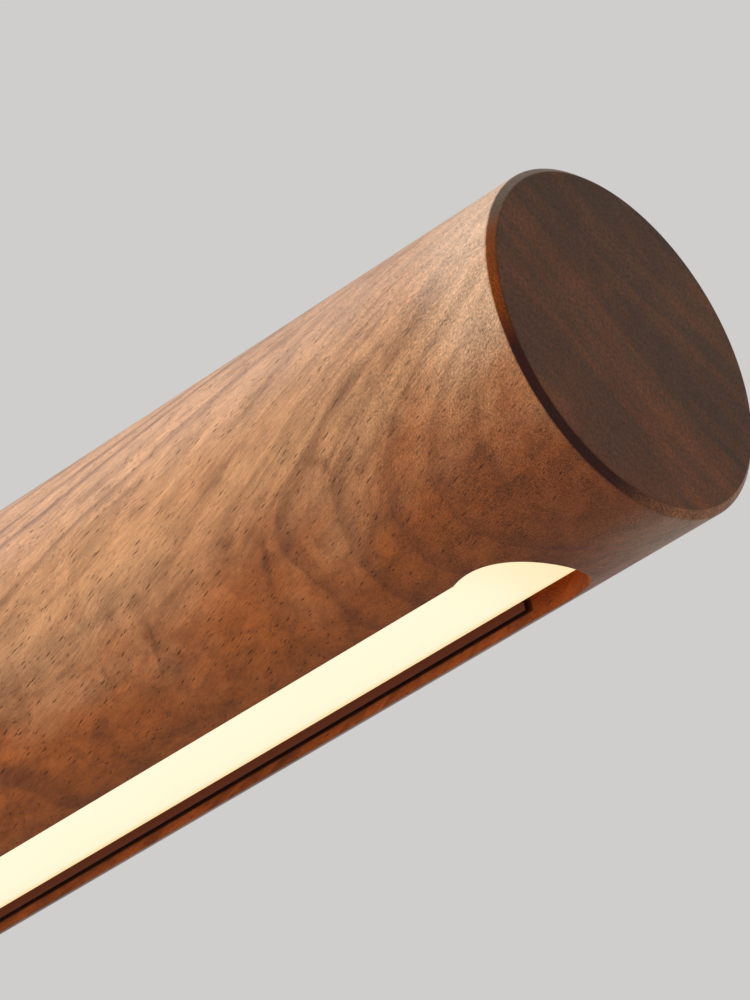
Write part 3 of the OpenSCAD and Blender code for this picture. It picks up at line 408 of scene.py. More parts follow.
def channel_surface(s):
    """The folded channel: a closed outline of widths and heights, every corner eased, carried along the
    bar, with a face across each end that joins the outer to the inner side of the fold."""
    half, ceiling, foot = CHANNEL_HIGH[1], CHANNEL_HIGH[2], CHANNEL_LOW[2] - s.lip_reach
    lip, wall = half - s.lip_wall, half - s.channel_wall
    ledge, under = OPAL_HIGH[2], ceiling - s.channel_top
    thin = lip + s.lip_thick
    tip = ((thin + lip) / 2, foot)
    outer = eased([(0, ceiling), (half, ceiling), (half, ledge), (thin, ledge - (half - thin)),
                   (thin, foot), tip], s.fold_ease)
    inner = eased([tip, (lip, foot), (lip, ledge), (wall, ledge), (wall, under), (0, under)], s.fold_ease)
    outline = np.concatenate([outer, inner[1:]])
    x = np.linspace(CHANNEL_LOW[0], CHANNEL_HIGH[0], CHANNEL_ROWS)
    shape = (len(x), len(outline))
    patches = mirrored(np.stack([np.broadcast_to(x[:, None], shape), np.broadcast_to(outline[:, 0], shape),
                                 np.broadcast_to(outline[:, 1], shape)], axis=-1))
    fold = np.stack([evenly(outer, FOLD_POINTS), evenly(inner[::-1], FOLD_POINTS)])
    for end in (x[0], x[-1]):
        patches += mirrored(np.concatenate([np.full_like(fold[..., :1], end), fold], axis=-1))
    return patches


def hole_patch(ring, centre, radius, rows):
    """A flat face with a round hole: each point of the outer ring is joined to the hole's edge along the
    straight line to the hole's centre, P = edge + (ring - edge) f."""
    out = ring - centre
    edge = centre + out / np.linalg.norm(out, axis=1, keepdims=True) * radius
    return edge[None] + (ring - edge)[None] * np.asarray(rows)[:, None, None]


def cover_surface(s):
    """The base cover: a turned shell whose top has the button's hole, whose edge is rounded down into the
    hole, and whose side has the inlet's oval window."""
    r, top, bottom = COVER_HIGH[0], COVER_HIGH[2], COVER_LOW[2]
    under, inner = top - s.cover_top, r - s.cover_wall
    c, e = s.cover_chamfer, s.metal_ease
    side = eased([(inner, under), (inner, bottom), (r - c / 2, bottom), (r, bottom + c / 2), (r, top - c),
                  (r - c, top), (r - 4 * c, top)], e)
    band_low, band_high = INLET_LOW[2] - WINDOW_BAND, INLET_HIGH[2] + WINDOW_BAND
    below_band = np.where((np.abs(side[:, 0] - r) < MERGE) & (side[:, 1] < band_low))[0][-1] + 1
    lower = np.concatenate([side[:below_band], [[r, band_low]]])
    upper = np.concatenate([[[r, band_high]], side[below_band:]])
    patches = [upright(part, turns=COVER_STEPS) for part in (lower, upper)]

    a = around(COVER_STEPS)
    circle = np.stack([np.cos(a), np.sin(a)], axis=-1)
    middle = (BUTTON_LOW[:2] + BUTTON_HIGH[:2]) / 2
    hole = (BUTTON_HIGH[0] - BUTTON_LOW[0]) / 2 - s.button_rim + s.pass_gap
    rows = np.linspace(0, 1, HOLE_RINGS)
    out, down = rounding(e, EDGE_STEPS)
    face = hole_patch(circle * (r - 4 * c), middle, hole + e, rows)
    rim = [hole_patch(circle, middle, hole + d, [0])[0] for d in out]
    below = hole_patch(circle * inner, middle, hole, rows)
    plan = np.concatenate([face[::-1], rim[1:], rim[-1:], below[1:]])
    z = np.concatenate([np.full(len(face), top), top - down[1:], np.full(len(below), under)])
    height = np.broadcast_to(z[:, None, None], plan.shape[:2] + (1,))
    patches.append(patch(np.concatenate([plan, height], axis=-1), closed=True))
    return patches + window_band(s, a, band_low, band_high, r, inner)


def window_band(s, a, low, high, r, inner):
    """The band of the cover's side with the inlet's window. Away from the window it is a plain grid of
    angle and height. Beside it, each point of a rectangle around the window is joined to the window's oval
    outline along a straight line in angle and height, and the oval runs through the wall to the inside."""
    steps = len(a)
    back = steps // 4
    window = np.arange(back - WINDOW_STEPS, back + WINDOW_STEPS + 1)
    plain = np.arange(back + WINDOW_STEPS, back - WINDOW_STEPS + steps + 1) % steps
    heights = np.linspace(low, high, BAND_ROWS)
    inner_heights = heights[1:-1]

    def on_wall(angle, height, radius):
        return np.stack([radius * np.cos(angle), radius * np.sin(angle), height], axis=-1)

    angle, height = np.meshgrid(a[plain], heights)
    plain_wall = patch(on_wall(angle, height, r))
    across, rows = len(window), len(inner_heights)
    left, right = a[window[0]], a[window[-1]]
    frame_a = np.concatenate([a[window], np.full(rows, right), a[window[::-1]], np.full(rows, left)])
    frame_z = np.concatenate([np.full(across, low), inner_heights, np.full(across, high),
                              inner_heights[::-1]])
    mid_z = (INLET_LOW[2] + INLET_HIGH[2]) / 2
    tall = (INLET_HIGH[2] - INLET_LOW[2]) / 2 + s.pass_gap
    flat = (INLET_HIGH[0] - INLET_LOW[0]) / 2 + s.pass_gap - tall
    frame_u, frame_v = (frame_a - QUARTER) * r, frame_z - mid_z
    turn = np.arctan2(frame_v / (tall + WINDOW_MARGINS[1]), frame_u / (flat + tall + WINDOW_MARGINS[0]))
    oval_u = flat * np.tanh(np.cos(turn) * WINDOW_SQUARE) + tall * np.cos(turn)
    oval_v = tall * np.sin(turn)
    f = np.linspace(1, 0, WINDOW_RINGS)[:, None]
    u, v = oval_u + (frame_u - oval_u) * f, oval_v + (frame_v - oval_v) * f
    outside = on_wall(QUARTER + u / r, mid_z + v, r)
    inside = on_wall(QUARTER + u[-1:] / r, mid_z + v[-1:], inner)
    return [plain_wall, patch(np.concatenate([outside, inside]), closed=True)]


# Materials

class Wiring:
    """Places nodes in a tree and links them, so that a finish reads as a list of steps."""

    def __init__(self, tree):
        self.tree = tree

    def feed(self, node, sockets):
        """Links a node's sockets or gives them values; a colour gets its alpha."""
        for key, value in sockets.items():
            socket = node.inputs[key]
            if isinstance(value, bpy.types.NodeSocket):
                self.tree.links.new(value, socket)
            else:
                socket.default_value = (*value, 1.0) if socket.type == "RGBA" else value

    def put(self, kind, sockets=None, **settings):
        """A new node, its settings made and its sockets fed."""
        node = self.tree.nodes.new(kind)
        for key, value in settings.items():
            setattr(node, key, value)
        self.feed(node, sockets or {})
        return node

    def math(self, operation, *values, clamp=False):
        """A sum on one, two or three values."""
        node = self.put("ShaderNodeMath", dict(enumerate(values)), operation=operation, use_clamp=clamp)
        return node.outputs[0]

    def times(self, *values):
        """The product of the values."""
        return reduce(lambda one, other: self.math("MULTIPLY", one, other), values)

    def total(self, *values):
        """The sum of the values."""
        return reduce(lambda one, other: self.math("ADD", one, other), values)

    def linear(self, value, slope, start):
        """start + slope x value."""
        return self.math("MULTIPLY_ADD", value, slope, start)

    def rest(self, value):
        """What is left of 1."""
        return self.math("SUBTRACT", 1.0, value)

    def centred(self, value):
        """A value between 0 and 1, moved to swing about 0."""
        return self.math("SUBTRACT", value, 0.5)

    def vector(self, operation, *values):
        """A sum on vectors; a dot product or a length puts out its value."""
        node = self.put("ShaderNodeVectorMath", dict(enumerate(values)), operation=operation)
        return node.outputs["Value" if operation in ("DOT_PRODUCT", "LENGTH") else "Vector"]

    def dot(self, vector, direction):
        """How far a vector goes in a direction."""
        return self.vector("DOT_PRODUCT", vector, tuple(direction))

    def scale(self, vector, factor):
        """A vector times a number."""
        node = self.put("ShaderNodeVectorMath", {"Vector": vector, "Scale": factor}, operation="SCALE")
        return node.outputs[0]

    def join(self, x, y, z):
        """A vector from its parts."""
        return self.put("ShaderNodeCombineXYZ", {"X": x, "Y": y, "Z": z}).outputs[0]

    def split(self, vector):
        """The parts of a vector."""
        return self.put("ShaderNodeSeparateXYZ", {0: vector}).outputs

    def noise(self, vector, detail=2, roughness=0.5, output=0):
        """Soft noise between 0 and 1, or its colour."""
        sockets = {"Vector": vector, "Scale": 1.0, "Detail": detail, "Roughness": roughness}
        return self.put("ShaderNodeTexNoise", sockets).outputs[output]

    def ramp(self, value, low, high, to_low=0.0, to_high=1.0):
        """A smooth step of a value from low to high."""
        sockets = {"Value": value, "From Min": low, "From Max": high, "To Min": to_low, "To Max": to_high}
        return self.put("ShaderNodeMapRange", sockets, interpolation_type="SMOOTHSTEP").outputs[0]

    def mix(self, factor, a, b, blend="MIX"):
        """Two colours mixed."""
        node = self.put("ShaderNodeMix", {0: factor, 6: a, 7: b}, data_type="RGBA", blend_type=blend)
        return node.outputs[2]

    def tinted(self, colour, tone):
        """A colour times another."""
        return self.mix(1.0, colour, tone, "MULTIPLY")

    def shaded(self, colour, value):
        """A colour times a value."""
        return self.tinted(colour, self.join(value, value, value))

    def seen_ray(self):
        """1 for what the eye sees, straight, mirrored or through glass, and 0 for light on other things."""
        path = self.put("ShaderNodeLightPath").outputs
        straight_or_glossy = self.math("MAXIMUM", path["Is Camera Ray"], path["Is Glossy Ray"])
        return self.math("MAXIMUM", straight_or_glossy, path["Is Transmission Ray"])


class Group(Wiring):
    """A node group that takes a place in millimetres and puts out a colour, a roughness and a height."""

    def __init__(self, name, vectors, colours, values):
        super().__init__(bpy.data.node_groups.new(name, "ShaderNodeTree"))
        self.sockets("INPUT", Vector=("Position", *vectors), Color=colours, Float=values)
        self.sockets("OUTPUT", Color=("Color",), Float=("Roughness", "Height"))
        self.given = self.put("NodeGroupInput").outputs
        self.place = self.given["Position"]

    def sockets(self, side, **kinds):
        """Named sockets of each kind on one side of the group."""
        for kind, titles in kinds.items():
            for title in titles:
                self.tree.interface.new_socket(title, in_out=side, socket_type="NodeSocket" + kind)

    def in_sizes(self, title):
        """The place, counted in a size that the group is given."""
        return self.vector("DIVIDE", self.place, self.join(*[self.given[title]] * 3))

    def spots(self, span, **noise):
        """Even noise whose spots are about a span across."""
        return self.noise(self.scale(self.place, 1 / span), **noise)

    def give(self, colour, roughness, height):
        """The finished group."""
        self.put("NodeGroupOutput", {"Color": colour, "Roughness": roughness, "Height": height})
        return self.tree


def unit(x, y, z):
    """A direction of length 1."""
    return np.array((x, y, z)) / math.sqrt(x * x + y * y + z * z)


# The growth layers of the plank cross the bar on a slant, and its fibres lie in the layers
LAYER = unit(-0.178, 0.60, 0.78)
FIBRE = unit(1.0, -0.081, 0.302)
ACROSS = np.cross(FIBRE, LAYER)
# The side that faces the key light, towards which the wood is painted paler as painted light and sheen, and
# where the end face is warmest
LIT_SIDE = unit(0.0, -0.526, 0.851)
WARM_SIDE = unit(0.0, -0.57, -0.82)
# Bends of the grain, each a span and a sway in millimetres, and the distance between growth rings
BENDS = ((55, 7.0), (13, 1.6))
RING_SPACING = 2.7
# Marks in the wood: length along the fibres, thickness through the layers and width across the fibres, in
# millimetres, then the detail and roughness of their noise
WANDER = (45, 12, 14), 3, 0.55
PATCHES = (34, 9, 12), 3, 0.55
STAINS = (13, 5, 5), 4, 0.6
MOTTLE = (6, 2.2, 2.2), 4, 0.62
STREAKS = (20, 0.7, 1.0), 3, 0.6
THREADS = (4, 0.13, 0.13), 2, 0.6
SPECKS = (0.3, 0.13, 0.13), 1, 0.5
CROWDS = (10, 4, 4), 2, 0.5
BANDS = (60, 2.4, 18), 3, 0.6
# Pores: the same three sizes of a cell, then the least and the most of it that a pore fills
LONG_PORES = (2.6, 0.36, 0.36), 0.15, 0.28
SHORT_PORES = (1.5, 0.25, 0.25), 0.14, 0.3
# How far each mark goes towards the dark tone, and a pore towards its own
STREAK_DEPTH = 0.34
STAIN_DEPTH = 0.5
# Painted shade: how far the shade band near the free end goes towards the dark tone
SHADE_BAND_DEPTH = 0.45
VEIN_DEPTH = 0.42
LATE_DEPTH = 0.6
END_LATE_DEPTH = 0.34
PORE_DEPTH = 0.75
# Tones of the wood where it is plain, under painted sheen, cut across and chamfered; of the chamfer's tones
# the top and the low one are painted sheen and the dark one is painted shade
PLAIN_TONE = (0.60, 0.68, 0.86)
PAINTED_SHEEN = (0.78, 0.52, 0.34)
CUT_DARK = (0.165, 0.067, 0.024)
CUT_PALE = (0.262, 0.089, 0.025)
CUT_WARM_TONE = (1.26, 1.08, 0.92)
RIM_AMBER = (0.48, 0.10, 0.007)
RIM_TOP_SHEEN = (0.27, 0.165, 0.105)
RIM_SHADE = (0.055, 0.005, 0.001)
RIM_LOW_SHEEN = (0.62, 0.24, 0.10)


class Walnut(Group):
    """Walnut as a solid, in millimetres from an origin on the piece. On the bar and the cap that is the
    middle of the end face, and x is negative inside. Layers, streaks and pores are placed by distance along
    the fibres, through the layers and across the fibres. End grain is darker, and the chamfered edge carries
    painted sheen and painted shade by its side towards the key light. The skin is painted paler towards the
    key light, with a painted shade band and a painted sheen by the free end. Swirl bends the layers at the
    free end, and with no swirl the wood is plain all over."""

    def __init__(self):
        super().__init__("walnut", ["Normal"], ["Pale", "Mid", "Dark", "Pore"], ["Swirl", "Edge"])
        self.x = self.split(self.place)[0]
        self.side = self.dot(self.place, LIT_SIDE)
        self.figured = self.math("MINIMUM", self.given["Swirl"], 1.0)
        self.near_end = self.times(self.ramp(self.x, -38, -5), self.figured)
        self.lay_grain()
        self.find_faces()
        self.streaks = self.marks(STREAKS)
        self.threads = self.marks(THREADS, self.flat)
        self.late = self.late_wood()
        self.pores = self.open_pores()
        self.tone = self.fine_tone()

    def lay_grain(self):
        """The wood's directions, bent by slow noise, and its layers, turned by the swirl and along a side."""
        bent = self.place
        for span, sway in BENDS:
            bend = self.vector("SUBTRACT", self.spots(span, output=1), (0.5, 0.5, 0.5))
            bent = self.vector("ADD", bent, self.scale(bend, sway))
        self.along, self.flat, self.across = (self.dot(bent, way) for way in (FIBRE, LAYER, ACROSS))
        swirl = self.times(self.math("EXPONENT", self.math("DIVIDE", self.x, 20)), self.given["Swirl"])
        lower = self.ramp(self.side, 8, -8)
        turning = self.times(self.math("MAXIMUM", self.x, -90), lower, self.figured, 0.1)
        self.layer = self.math("SUBTRACT", self.flat, self.total(swirl, turning))

    def find_faces(self):
        """Where the surface is end grain and where it is the chamfer, and how calm the figure is there."""
        normal = self.given["Normal"]
        self.end = self.ramp(self.math("ABSOLUTE", self.dot(normal, FIBRE)), 0.6, 0.9)
        facing = self.math("ABSOLUTE", self.split(normal)[0])
        self.edge = self.times(self.ramp(facing, 0.4, 0.62), self.ramp(facing, 0.95, 0.8),
                               self.ramp(self.x, -1.6, -1.1), self.given["Edge"])
        self.calm = self.linear(self.end, -0.5, 1.0)
        self.fade = self.times(self.near_end, self.rest(self.end))

    def stretched(self, sizes, depth):
        """The place, counted in sizes along the fibres, through the layers and across the fibres."""
        ways = zip((self.along, depth, self.across), sizes)
        return self.join(*(self.math("DIVIDE", way, span) for way, span in ways))

    def marks(self, kind, depth=None):
        """Noise stretched to a kind of mark, through the turned layers unless another depth is given."""
        sizes, detail, roughness = kind
        return self.noise(self.stretched(sizes, self.layer if depth is None else depth), detail, roughness)

    def late_wood(self):
        """A dark line at the end of each growth ring, stronger in some rings, weaker near the free end."""
        even = self.math("DIVIDE", self.layer, RING_SPACING)
        rings = self.linear(self.centred(self.marks(WANDER)), 0.9, even)
        phase = self.math("FRACT", rings)
        chance = self.put("ShaderNodeTexWhiteNoise", {"W": self.math("FLOOR", rings)}, noise_dimensions="1D")
        line = self.times(self.ramp(phase, 0.45, 0.9), self.ramp(phase, 1.0, 0.9))
        return self.times(line, self.ramp(chance.outputs[0], 0.1, 0.9, 0.15, 1.0),
                          self.linear(self.near_end, -0.6, 1.0))

    def open_pores(self):
        """Long pores and fainter short ones, in crowds."""
        crowd = self.times(self.ramp(self.marks(CROWDS), 0.35, 0.62, 0.35, 1.0),
                           self.linear(self.near_end, -0.4, 1.0))
        return self.math("MAXIMUM", self.pore_layer(crowd, *LONG_PORES),
                         self.times(self.pore_layer(crowd, *SHORT_PORES), 0.65))

    def pore_layer(self, crowd, sizes, least, most):
        """Spindles along the fibres, one in each cell of a loose lattice, some of them left out."""
        cell = self.put("ShaderNodeTexVoronoi", {"Vector": self.stretched(sizes, self.flat), "Scale": 1.0,
                                                 "Randomness": 1.0}).outputs
        chance = self.put("ShaderNodeSeparateColor", {0: cell["Color"]}).outputs
        width = self.ramp(chance[1], 0.0, 1.0, least, most)
        spindle = self.ramp(self.math("DIVIDE", cell["Distance"], width), 1.0, 0.4)
        return self.times(spindle, self.ramp(self.math("SUBTRACT", crowd, chance[0]), -0.04, 0.04))

    def fine_tone(self):
        """Lighter and darker threads, mottle and specks, weaker on end grain. The side facing the key light
        is brightened as painted light, and the stronger specks near the free end are partly a painted
        speckled sheen.
        """
        # Painted light: brighter on the side that faces the key light, along a stretch of the bar
        painted_lift = self.times(self.ramp(self.x, -22, -50), self.ramp(self.x, -150, -95),
                           self.ramp(self.side, 3, 10))
        tone = self.times(self.ramp(self.threads, 0.25, 0.75, 0.84, 1.16),
                          self.ramp(self.marks(MOTTLE), 0.28, 0.72, 0.8, 1.18), self.linear(painted_lift, 0.2, 1.0))
        # The wood's own specks, made stronger near the free end, where they are partly painted sheen
        grainy = self.times(self.centred(self.marks(SPECKS)), self.linear(self.fade, 1.5, 0.45))
        return self.linear(self.math("SUBTRACT", self.total(tone, grainy), 1.0), self.calm, 1.0)

    def veins(self):
        """Dark lines that lean across the bar's first stretch, broken by noise, but not on the side that
        faces the key light.
        """
        leaned = self.math("DIVIDE", self.linear(self.side, -0.65, self.x), 13)
        lines = self.math("FRACT", self.linear(self.spots(15, detail=3), 3.0, leaned))
        line = self.ramp(self.math("ABSOLUTE", self.centred(lines)), 0.13, 0.0)
        return self.times(line, self.ramp(self.spots(9), 0.42, 0.62), self.ramp(self.side, 12, 4),
                          self.ramp(self.x, -16, -26), self.ramp(self.x, -130, -95), self.figured)

    def skin(self):
        """The wood along its fibres: clouds from pale to mid, paler on the lit side as painted light,
        darkened by its marks, a painted shade band and pores, plainer away from the free end, with a painted
        sheen by the chamfer."""
        # Clouds from pale to mid: the noise patches are the wood's own tone, and the shift towards pale on
        # the side facing the key light is painted light and sheen
        patches = self.times(self.centred(self.marks(PATCHES)), 34)
        far = self.ramp(self.x, -170, -80, -17, 0)
        clouds = self.ramp(self.total(self.side, patches, far), 12, -9)
        # Painted shade: a band that is darker near the free end, on the side turned from the key light,
        # ending before the bottom of the bar
        shade_band = self.ramp(self.linear(patches, 0.4, self.side), 7, -7)
        shade_band = self.times(shade_band, self.ramp(self.side, -18, -11), self.fade)
        colour = self.mix(clouds, self.given["Pale"], self.given["Mid"])
        for mark, depth in ((self.times(self.ramp(self.streaks, 0.45, 0.75), self.calm), STREAK_DEPTH),
                            (self.times(self.ramp(self.marks(STAINS), 0.5, 0.74), self.calm), STAIN_DEPTH),
                            (shade_band, SHADE_BAND_DEPTH),
                            (self.veins(), VEIN_DEPTH),
                            (self.times(self.late, self.calm), LATE_DEPTH)):
            colour = self.mix(self.times(mark, depth), colour, self.given["Dark"])
        colour = self.mix(self.times(self.pores, PORE_DEPTH), colour, self.given["Pore"])
        colour = self.shaded(colour, self.tone)
        plain = self.math("MAXIMUM", self.ramp(self.x, -85, -150), self.rest(self.figured))
        colour = self.mix(plain, colour, self.tinted(colour, PLAIN_TONE))
        # Painted sheen near the free end: a paler tone on the side facing the key light and low down, where
        # the surface catches light at a grazing angle
        worn = self.total(self.times(self.ramp(self.side, 3, 10), 0.45),
                          self.times(self.ramp(self.side, -14, -18.5), 0.42))
        worn = self.times(worn, self.ramp(self.x, -14, -3), self.figured)
        return self.mix(worn, colour, self.shaded(PAINTED_SHEEN, self.tone))

    def end_face(self):
        """The wood cut across: bands, warmer to one side, with late wood and fine and broad spots."""
        bands = self.ramp(self.marks(BANDS), 0.38, 0.64)
        warm = self.ramp(self.dot(self.place, WARM_SIDE), -12, 14)
        colour = self.mix(bands, CUT_DARK, CUT_PALE)
        colour = self.mix(warm, colour, self.tinted(colour, CUT_WARM_TONE))
        colour = self.mix(self.times(self.late, END_LATE_DEPTH), colour, self.given["Dark"])
        dots = self.times(self.ramp(self.spots(0.4, roughness=0.6), 0.3, 0.7, 0.66, 1.32),
                          self.ramp(self.spots(13), 0.36, 0.66, 0.76, 1.2))
        return self.shaded(self.shaded(colour, dots), self.tone)

    def rim(self):
        """The chamfer from its lit side down: painted sheen, amber, painted shade, a low painted sheen, and
        hatched by fibres.
        """
        colour = self.mix(self.ramp(self.side, 15.5, 18.5), RIM_AMBER, RIM_TOP_SHEEN)
        colour = self.mix(self.ramp(self.side, 10.8, 4.5), colour, RIM_SHADE)
        colour = self.mix(self.ramp(self.side, -10.5, -19), colour, RIM_LOW_SHEEN)
        return self.shaded(self.shaded(colour, self.ramp(self.threads, 0.3, 0.7, 0.62, 1.38)), self.tone)

    def finish(self):
        """The colour by face, the gloss by streaks, pores and end grain, the height by threads and pores."""
        colour = self.mix(self.end, self.skin(), self.end_face())
        colour = self.mix(self.edge, colour, self.rim())
        roughness = self.total(self.ramp(self.streaks, 0.3, 0.8, 0.40, 0.50), self.times(self.pores, 0.2),
                               self.times(self.end, 0.08))
        return self.give(colour, roughness, self.math("SUBTRACT", self.times(self.threads, 0.18), self.pores))


@cache
def walnut_group():
    """The walnut group, built once."""
    return Walnut().finish()


@cache
def grain_group():
    """Fine even texture for coats, plastics and rubber: a mottle of colour, gloss and height."""
    g = Group("fine_grain", [], ["Color"], ["Grain", "Gloss", "Spread", "Tone"])
    cells = g.noise(g.in_sizes("Grain"), detail=3, roughness=0.6)
    mottle = g.linear(g.centred(cells), 0.6, g.centred(g.spots(24, detail=3, roughness=0.55)))
    return g.give(g.shaded(g.given["Color"], g.linear(mottle, g.given["Tone"], 1.0)),
                  g.linear(mottle, g.given["Spread"], g.given["Gloss"]), cells)


@cache
def turned_group():
    """Turned metal: fine lines that vary the colour, the gloss and the height."""
    g = Group("turned_metal", [], ["Color"], ["Pitch", "Gloss"])
    lines = g.noise(g.vector("MULTIPLY", g.in_sizes("Pitch"), (1.0, 0.04, 1.0)), roughness=0.6)
    tone = g.linear(g.centred(lines), 0.16, g.ramp(g.spots(9, detail=3), 0.3, 0.7, 0.86, 1.0))
    return g.give(g.shaded(g.given["Color"], tone), g.linear(g.centred(lines), 0.25, g.given["Gloss"]), lines)


class Finish(Wiring):
    """A material with one shader, and the place and normal of its surface on the object's own axes."""

    def __init__(self, name):
        self.material = bpy.data.materials.new(name)
        self.material.use_nodes = True
        super().__init__(self.material.node_tree)
        self.tree.nodes.clear()
        self.shader = self.put("ShaderNodeBsdfPrincipled")
        self.output = self.put("ShaderNodeOutputMaterial", {"Surface": self.shader.outputs[0]})
        coords = self.put("ShaderNodeTexCoord").outputs
        self.place, self.normal = coords["Object"], coords["Normal"]

    def millimetres(self):
        """The place in millimetres."""
        return self.scale(self.place, 1 / MM)

    def dress(self, tree, sockets, depth, constants):
        """A group's colour, gloss and bump go into the shader; depth is the height of the bump in metres."""
        group = self.put("ShaderNodeGroup", sockets, node_tree=tree).outputs
        bump = self.put("ShaderNodeBump", {"Height": group["Height"], "Distance": depth, "Strength": 1.0})
        self.feed(self.shader, {"Base Color": group["Color"], "Roughness": group["Roughness"],
                                "Normal": bump.outputs[0], **constants})
        return group


def walnut(name, origin, turn=(0, 0, 0), swirl=0.0, edge=1.0, groove=None):
    """Oiled walnut whose grain is laid from an origin on the piece and turned with it. A groove, given as
    its half width, the lower edge of its painted shade and the shade's end, is painted dark inside as
    painted shade, as far as its channel reaches."""
    colours = bpy.context.scene.lamp_colours
    f = Finish(name)
    moved = f.vector("SUBTRACT", f.place, tuple(origin))
    laid = f.put("ShaderNodeMapping", {"Vector": moved, "Rotation": turn, "Scale": (1 / MM,) * 3}).outputs[0]
    facing = f.put("ShaderNodeMapping", {"Vector": f.normal, "Rotation": turn}).outputs[0]
    wood = f.dress(walnut_group(), {"Position": laid, "Normal": facing, "Swirl": swirl, "Edge": edge,
                                    "Pale": colours.walnut_pale, "Mid": colours.walnut_mid,
                                    "Dark": colours.walnut_dark, "Pore": colours.walnut_pore},
                   depth=0.035 * MM, constants={"Specular IOR Level": 0.3})
    if groove:
        # Painted shade in the groove, where the channel's lips shade its wall; each limit is soft, some
        # tenths of a millimetre wide
        half, low, end = groove
        x, y, z = f.split(laid)
        inside = f.times(f.ramp(f.math("ABSOLUTE", y), half + 0.6, half + 0.4), f.ramp(z, -6.0, -6.5))
        reach = f.times(f.ramp(z, low - 0.12, low + 0.12), f.ramp(x, end + 0.1, end - 0.1))
        groove_shade = f.mix(f.times(inside, reach), wood["Color"], colours.walnut_pore)
        f.feed(f.shader, {"Base Color": groove_shade})
    return f.material


def grained(name, colour, grain, gloss, depth, spread=0.1, tone=0.12, metallic=0.0):
    """A coat, plastic or rubber with a fine even texture, its grain and its bump in millimetres."""
    f = Finish(name)
    f.dress(grain_group(), {"Position": f.millimetres(), "Color": colour, "Grain": grain, "Gloss": gloss,
                            "Spread": spread, "Tone": tone},
            depth=depth * MM, constants={"Metallic": metallic})
    return f.material


def turned(name, colour, pitch, gloss):
    """Turned or drawn bare metal, its lines a pitch apart in millimetres."""
    f = Finish(name)
    f.dress(turned_group(), {"Position": f.millimetres(), "Color": colour, "Pitch": pitch, "Gloss": gloss},
            depth=0.002 * MM, constants={"Metallic": 1.0})
    return f.material


@cache
def bronze_coat():
    """Dark bronze powder coat."""
    colour = bpy.context.scene.lamp_colours.bronze
    return grained("bronze_coat", colour, grain=0.35, gloss=0.42, depth=0.012, metallic=0.55)


def bronze_anodised():
    """Dark bronze anodised aluminium."""
    colour = bpy.context.scene.lamp_colours.bronze
    return grained("bronze_anodised", colour, grain=0.18, gloss=0.36, depth=0.003, metallic=0.75)


def bronze_channel():
    """The channel's anodised bronze, a warmer tone than the hub's."""
    colour = bpy.context.scene.lamp_colours.channel
    return grained("bronze_channel", colour, grain=0.18, gloss=0.5, depth=0.003, metallic=0.4)


def lit_opal():
    """Opal plastic lit from behind. Its light falls off a little towards the edges and the tip. What the
    eye sees is the even warm white, and what it throws on the slot is dimmer and much warmer."""
    colours, light = bpy.context.scene.lamp_colours, bpy.context.scene.lamp_light
    f = Finish("lit_opal")
    x, y, _ = f.split(f.millimetres())
    half, end, tip_length = OPAL_HIGH[1] / MM, OPAL_HIGH[0] / MM, 16
    side = f.ramp(f.math("ABSOLUTE", y), half * 0.78, half)
    tip = f.times(f.ramp(x, end - tip_length, end), 0.8)
    clouds = f.times(f.noise(f.scale(f.place, 70.0)), 0.25)
    fall = f.math("ADD", f.math("MAXIMUM", side, tip), f.math("SUBTRACT", clouds, 0.12), clamp=True)
    seen = f.mix(fall, colours.glow, colours.glow_edge)
    thrown = np.array(colours.spill) * light.spill
    straight = f.put("ShaderNodeLightPath").outputs["Is Camera Ray"]
    f.feed(f.shader, {"Emission Color": f.mix(straight, thrown, seen), "Emission Strength": 1.0,
                      "Base Color": f.mix(fall, colours.opal, np.array(colours.opal) * 0.9),
                      "Roughness": f.ramp(clouds, 0.0, 0.25, 0.42, 0.52)})
    return f.material


# Operators

# The painted shade in the slot: how far it reaches below the channel's lips and past the channel's end, in
# millimetres
SHADE_DROP = 0.22
SHADE_PAST = 0.6
# How far the swirl moves the layers at the bar's free end, in millimetres
BAR_SWIRL = 8.0


class Piece:
    """What the operators share."""
    bl_options = {"REGISTER", "UNDO"}


class LAMP_OT_bar(Piece, bpy.types.Operator):
    """Make the turned walnut bar with its light slot"""
    bl_idname = "lamp.bar"
    bl_label = "Walnut bar"

    def execute(self, context):
        s = context.scene.lamp_sizes
        # Painted shade in the slot: its lower edge a little below the channel's lips, its end a little past
        # the channel's
        shade_low = (CHANNEL_LOW[2] - s.lip_reach - AXIS_Z) / MM - SHADE_DROP
        shade_end = (CHANNEL_HIGH[0] - BAR_HIGH[0]) / MM + SHADE_PAST
        groove = (s.slot_half / MM, shade_low, shade_end)
        finish = walnut("bar_walnut", FREE_END, swirl=BAR_SWIRL, groove=groove)
        make_piece("walnut_bar", bar_surface(s), finish, "bar", "wood_bar")
        return {"FINISHED"}


class LAMP_OT_light(Piece, bpy.types.Operator):
    """Make the light channel and the lit diffuser in the slot"""
    bl_idname = "lamp.light"
    bl_label = "Light channel and diffuser"

    def execute(self, context):
        s = context.scene.lamp_sizes
        make_piece("light_channel", channel_surface(s), bronze_channel(), "bar",
                   "led_channel")
        make_piece("opal_strip", diffuser_surface(s), lit_opal(), "bar", "diffuser")
        return {"FINISHED"}


